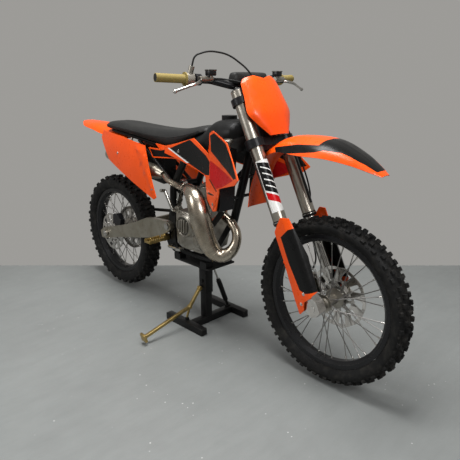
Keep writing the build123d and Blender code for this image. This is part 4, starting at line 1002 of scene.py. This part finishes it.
# ---- exhaust ----
PIPE_ROUTE = [
    (846.4, 0, 651.9, 21), (862, 0, 649, 21), (892, -30, 634, 20), (930, -47, 610, 20), (978, -52, 588, 20),
    (1010, -54, 556, 20.5), (1020, -62, 512, 22), (1008, -80, 470, 27), (980, -102, 447, 32),
    (950, -126, 458, 37), (928, -146, 502, 43), (910, -163, 578, 47), (892, -168, 650, 47),
    (862, -162, 700, 42), (806, -146, 722, 31), (748, -124, 722, 22), (690, -114, 722, 16),
    (620, -118, 738, 13), (572, -108, 755, 13),
]
chamber = Form("expansion_chamber", "raw_steel")
chamber.tube([at(*p[:3]) for p in PIPE_ROUTE], [p[3] for p in PIPE_ROUTE], 48, 6)
for k, girth in ((4, 20), (7, 27), (9, 37), (13, 42), (15, 22)):
    before, here, after = (at(*PIPE_ROUTE[i][:3]) for i in (k - 1, k, k + 1))
    way = (after - before).normalized()
    bead = [(0, girth - 0.4), (0.8, girth + 0.7), (2.2, girth + 0.7), (3, girth - 0.4)]
    chamber.lathe(here - way * 1.5 * MM, way, bead, 48)
chamber.done("root", "exhaust_pipe", sharp=50)


# ---- foot pegs and stand ----
PEG_IN = 130
PEG_OUT = 222
PEG_TEETH = 8


def foot_rest(form, side):
    pitch = (PEG_OUT - PEG_IN) / PEG_TEETH
    outline = [(PEG_IN, 434)]
    for k in range(PEG_TEETH):
        start = PEG_IN + pitch * k
        outline += [(start, 447), (start + pitch * 0.3, 453), (start + pitch * 0.7, 453)]
    outline += [(PEG_OUT, 447), (PEG_OUT, 434)]
    for x in (542, 583):
        form.prism(outline, x, x + 5, lambda y, along, z: at(along, side * y, z))
    for y in (PEG_IN, 158, 186, PEG_OUT - 6):
        form.prism([(544, 435), (586, 435), (586, 446), (544, 446)], side * y, side * (y + 6), at, 0.8)
    form.prism([(552, 428), (578, 428), (578, 458), (552, 458)], side * 88, side * 132, at, 3.0)
    form.rod(at(565, side * 112, 424), at(565, side * 112, 462), 6)


rests = Form("foot_rests", "raw_steel", *kit("gold_zinc"))
foot_rest(rests, -1)
foot_rest(rests, 1)
rests.done("root", "footpegs")

base = Form("stand_base", "black_frame")
for y in (-111, 181):
    base.bar(at(573, y, 18), at(850, y, 18), 36, 36, 2.5)
    for x in (573, 850):
        base.bar(at(x - 3, y, 18), at(x + 3, y, 18), 31, 31, 1.5)
base.bar(at(744, -94, 18), at(744, 164, 18), 36, 35, 2.5)
for x, y, low, high, wide, deep, soft in (
    (744, 0, 34, 182, 42, 42, 2.5), (744, 0, 168, 333, 50, 50, 3.0), (744, 0, 326, 333, 78, 78, 2.0),
    (712, -103, 34, 48, 14, 16, 1.0), (744, 152, 34, 48, 24, 20, 1.0),
):
    base.bar(at(x, y, low), at(x, y, high), wide, deep, soft, (1, 0, 0))
base.bar(at(744, 24, 316), at(744, 47, 316), 20, 20, 1.5)
base.rod(at(744, -25, 232), at(744, -34, 232), 9)
base.done("root", "stand_frame")

lever = Form("stand_foot_lever", "gold_zinc")
heel, elbow, head = at(716, -370, 37), at(728, -98, 110), at(738, -38, 197)
reach = (heel - elbow).normalized()
lever.bar(heel, elbow, 15, 15, 1.5)
lever.bar(elbow, head, 15, 15, 1.5)
lever.rod(off(elbow, -10, 0, 0), off(elbow, 10, 0, 0), 10, 24)
lever.rod(off(head, -11, 0, 0), off(head, 11, 0, 0), 10, 24)
lever.rod(at(738, -26, 197), at(738, -52, 197), 6)
lever.bar(heel - reach * 5 * MM, heel + reach * 8 * MM, 40, 40, 2.0)
lever.rod(off(elbow, -2, 0, -4), at(712, -103, 50), 6)
lever.done("root", "stand_lever")

gas = Form("stand_gas_strut", "black_frame", *kit("black_frame", "bright_steel"))
strut_top, strut_foot = at(744, 42, 312), at(744, 152, 46)
way = strut_top - strut_foot
gas.rod(strut_foot, strut_top, 5, 20, 1)
gas.rod(strut_foot + way * 0.12, strut_foot + way * 0.6, 13, 28)
gas.rod(strut_foot + way * 0.58, strut_foot + way * 0.63, 10, 28)
gas.rod(strut_foot, strut_foot + way * 0.13, 8, 20)
gas.done("root", "stand_strut")

# ---- hand controls ----
GRIP_IN = at(954, 278, 1202)
GRIP_OUT = at(927, 400, 1207)
BAR_WAY = (GRIP_OUT - GRIP_IN).normalized()
LEVER_END = [(-8, 1), (-7, 4.4), (-4, 7.0), (0, 8.0), (4, 7.0), (7, 4.4), (8, 1)]


def along_bar(inward, side):
    """A point on the handlebar's axis, so many mm in from the grip."""
    spot = GRIP_IN - BAR_WAY * inward * MM
    return Vector((spot.x, side * spot.y, spot.z))


def lever_set(form, side):
    inner = along_bar(66, side)
    outer = along_bar(40, side)
    middle = along_bar(53, side)

    def near(x, y, z):
        return middle + mm(x, side * y, z)

    form.lathe(inner, outer - inner, [(0, 20), (1.5, 22), (24, 22), (26, 20)], 32)
    form.bar(near(16, 0, 0), near(38, 0, 2), 20, 18, 3.0)
    form.tube([near(42, -40, 3), near(40, -10, 2), near(38, 22, 1)], [10, 11.5, 12], 20, 4, 2)
    form.bar(near(46, -48, 24), near(46, -10, 24), 27, 20, 4.0)
    form.bar(near(46, -49, 35), near(46, -9, 35), 29, 5, 2.0, number=2)
    form.rod(near(44, -30, 4), near(46, -30, 18), 7, 16, 2)
    form.rod(near(37, 14, -14), near(37, 14, 12), 9, 24)
    knee = near(66, 66, -16)
    tip = at(1012, side * 376, 1158)
    way = tip - knee
    route = [near(37, 14, -2), near(54, 36, -8), knee, knee + way * 0.35, knee + way * 0.7, tip]
    form.tube(route, [7, 6.4, 5.8, 5.2, 5.0, 5.4], 16, 6, 1)
    form.lathe(tip, way, LEVER_END, 20, 1)
    for reach in (6, 20):
        form.bolt(off(inner.lerp(outer, reach / 26), -20, 0, 6), (-1, 0, 0.3), 3.2, 4, 1)


controls = Form("lever_sets", "black_aluminium", *kit("black_aluminium", "bright_steel", "cast_alloy"))
lever_set(controls, -1)
lever_set(controls, 1)
controls.done("steering", "hand_controls")


# ---- wheels: hubs with darker spokes, and nipples ----
def hub_and_spokes(word, axle, hub_r):
    """A copy of the hub's CAD mesh, with the faces past the hub's own radius in spoke steel."""
    mesh = NODES[word + "_hub"].data.copy()
    piece = new_object(word + "_hub_and_spokes", mesh)
    mesh.materials.clear()
    mesh.materials.append(MATERIALS["cast_alloy"])
    mesh.materials.append(SPOKE_STEEL)
    for face in mesh.polygons:
        away = math.hypot(face.center.x - axle.x, face.center.z - axle.z)
        face.material_index = 1 if away > hub_r * MM else 0
    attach(piece, word + "_wheel")
    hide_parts(word + "_hub")


SPOKE_STEEL = metal("spoke_steel", (0.30, 0.29, 0.28), (0.20, 0.19, 0.18), 0.34)
for word, axle, hub_r, rim_r, flanges in (
    ("front", FRONT_AXLE, 46, 248.5, ((-31, 33, 0.0), (31, 39, 10.0))),
    ("rear", REAR_AXLE, 62, 223.5, ((-41, 55, 0.0), (41, 55, 10.0))),
):
    hub_and_spokes(word, axle, hub_r)
    nipples = Form(word + "_nipples", "bright_steel")
    for y, low_r, phase in flanges:
        for k in range(9):
            for lean in (-1, 1):
                foot = math.radians(phase + 40 * k + 6 * lean)
                end = math.radians(phase + 40 * k + 28 * lean)
                a = off(axle, low_r * math.sin(foot), y, low_r * math.cos(foot))
                b = off(axle, rim_r * math.sin(end), y * 0.15, rim_r * math.cos(end))
                way = (b - a).normalized()
                nipples.rod(b - way * 16 * MM, b + way * 1 * MM, 3.4, 10)
    nipples.done(word + "_wheel")

# ---- small fasteners ----
bolts = Form("body_bolts", "bright_steel")
for plan, levels, places in (
    (PANEL_PLAN, PANEL_LEVELS, ((236, 836), (538, 690))),
    (SHROUD_PLAN, SHROUD_LEVELS, ((972, 690), (700, 885))),
):
    for side in (-1, 1):
        for x, z in places:
            y = smooth(plan)(x) + 3.6 - smooth(levels)(z)
            bolts.bolt(at(x, side * y, z), (0, side, 0), 5.0, 3.5)
bolts.done("root")
guard_bolts = Form("shield_bolts", "bright_steel")
for side in (-1, 1):
    for x, z in ((20, 30), (48, 66)):
        guard_bolts.bolt(steer(x, side * (smooth(GUARD_PLAN)(x) + 3.6), z), (0, side, 0), 5.0, 3.5)
guard_bolts.done("steering")


# ---- studio ----
def floor_paint(colour, depth, stretch, rough):
    """Painted concrete: broad stains, streaks one way and a scatter of pale specks."""
    m = Nodes("floor_paint")
    tone = m.span(m.noise(1.3, 6.0, 0.65), 0.3, 0.7)
    base = m.blend(tone, colour, darker(colour, 0.84))
    streak = m.span(m.noise(7.0, 8.0, 0.75, stretch), 0.42, 0.7)
    base = m.blend(m.maths("MULTIPLY", streak, 0.35), base, darker(colour, 0.72))
    dots = m.span(m.cells(26.0), 0.085, 0.06)
    chosen = m.span(m.noise(5.0, 3.0), 0.5, 0.6)
    base = m.blend(m.maths("MULTIPLY", m.maths("MULTIPLY", dots, chosen), 0.8), base, (0.62, 0.62, 0.6))
    m.finish(base, m.span(m.noise(9.0, 6.0), 0.3, 0.7, rough * 0.8, rough * 1.2))
    m.relief(m.noise(60.0, 8.0, 0.7, stretch), depth, 0.6)
    return m.mat


CAMERA_AT = Vector((1.7484, -1.5569, 1.1911))
YAW = math.radians(135.39)
PITCH = math.radians(-16.58)
LENS = 38.91
SENSOR = 36.0
VIEW = Vector((math.cos(YAW) * math.cos(PITCH), math.sin(YAW) * math.cos(PITCH), math.sin(PITCH)))
AHEAD = Vector((math.cos(YAW), math.sin(YAW), 0))
ACROSS = Vector((math.sin(YAW), -math.cos(YAW), 0))
FLOOR_END = 3.16
FLOOR_HALF = 7
FLOOR_LENGTH = 12

camera_data = bpy.data.cameras.new("camera")
camera_data.lens = LENS
camera_data.sensor_width = SENSOR
camera = new_object("camera", camera_data)
camera.location = CAMERA_AT
camera.rotation_euler = VIEW.to_track_quat("-Z", "Y").to_euler()
bpy.context.scene.camera = camera

# The floor ends where the photograph's wall stands, and the world's pale colour shows behind it.
far = CAMERA_AT + AHEAD * FLOOR_END
far.z = 0
back = AHEAD * FLOOR_LENGTH
half = ACROSS * FLOOR_HALF
floor_mesh = bpy.data.meshes.new("floor")
floor_mesh.from_pydata([far + half, far - half, far - half - back, far + half - back], [], [(0, 1, 2, 3)])
floor_mesh.materials.append(floor_paint((0.225, 0.235, 0.228), 0.0015, (3, 0.6, 1), 0.42))
floor = new_object("floor", floor_mesh)


def lamp(name, place, aim, size, watts):
    data = bpy.data.lights.new(name, "AREA")
    data.shape = "DISK"
    data.size = size
    data.energy = watts
    piece = new_object(name, data)
    piece.location = place
    piece.rotation_euler = (Vector(aim) - Vector(place)).to_track_quat("-Z", "Y").to_euler()


lamp("overhead", (0.2, -0.4, 3.4), (0.0, 0.0, 0.5), 1.8, 150)
lamp("front", (3.2, -1.0, 2.6), (0.3, 0.0, 0.6), 1.2, 50)
lamp("side", (-1.2, -3.4, 2.4), (-0.1, 0.0, 0.5), 1.8, 50)

AMBIENT = (0.80, 0.82, 0.85, 1)
AMBIENT_STRENGTH = 0.2
BACKGROUND = (0.335, 0.328, 0.312, 1)
world = bpy.data.worlds.new("studio")
bpy.context.scene.world = world
world.use_nodes = True
nodes = world.node_tree.nodes
join = world.node_tree.links.new
lit = nodes["Background"]
lit.inputs["Color"].default_value = AMBIENT
lit.inputs["Strength"].default_value = AMBIENT_STRENGTH
seen = nodes.new("ShaderNodeBackground")
seen.inputs["Color"].default_value = BACKGROUND
seen.inputs["Strength"].default_value = 1.0
rays = nodes.new("ShaderNodeLightPath")
share = rays.outputs["Is Camera Ray"]
for kind in ("Is Glossy Ray", "Is Transmission Ray"):
    either = nodes.new("ShaderNodeMath")
    either.operation = "MAXIMUM"
    join(share, either.inputs[0])
    join(rays.outputs[kind], either.inputs[1])
    share = either.outputs[0]
choose = nodes.new("ShaderNodeMixShader")
join(share, choose.inputs[0])
join(lit.outputs[0], choose.inputs[1])
join(seen.outputs[0], choose.inputs[2])
join(choose.outputs[0], nodes["World Output"].inputs["Surface"])
bpy.context.scene.view_settings.view_transform = "Standard"
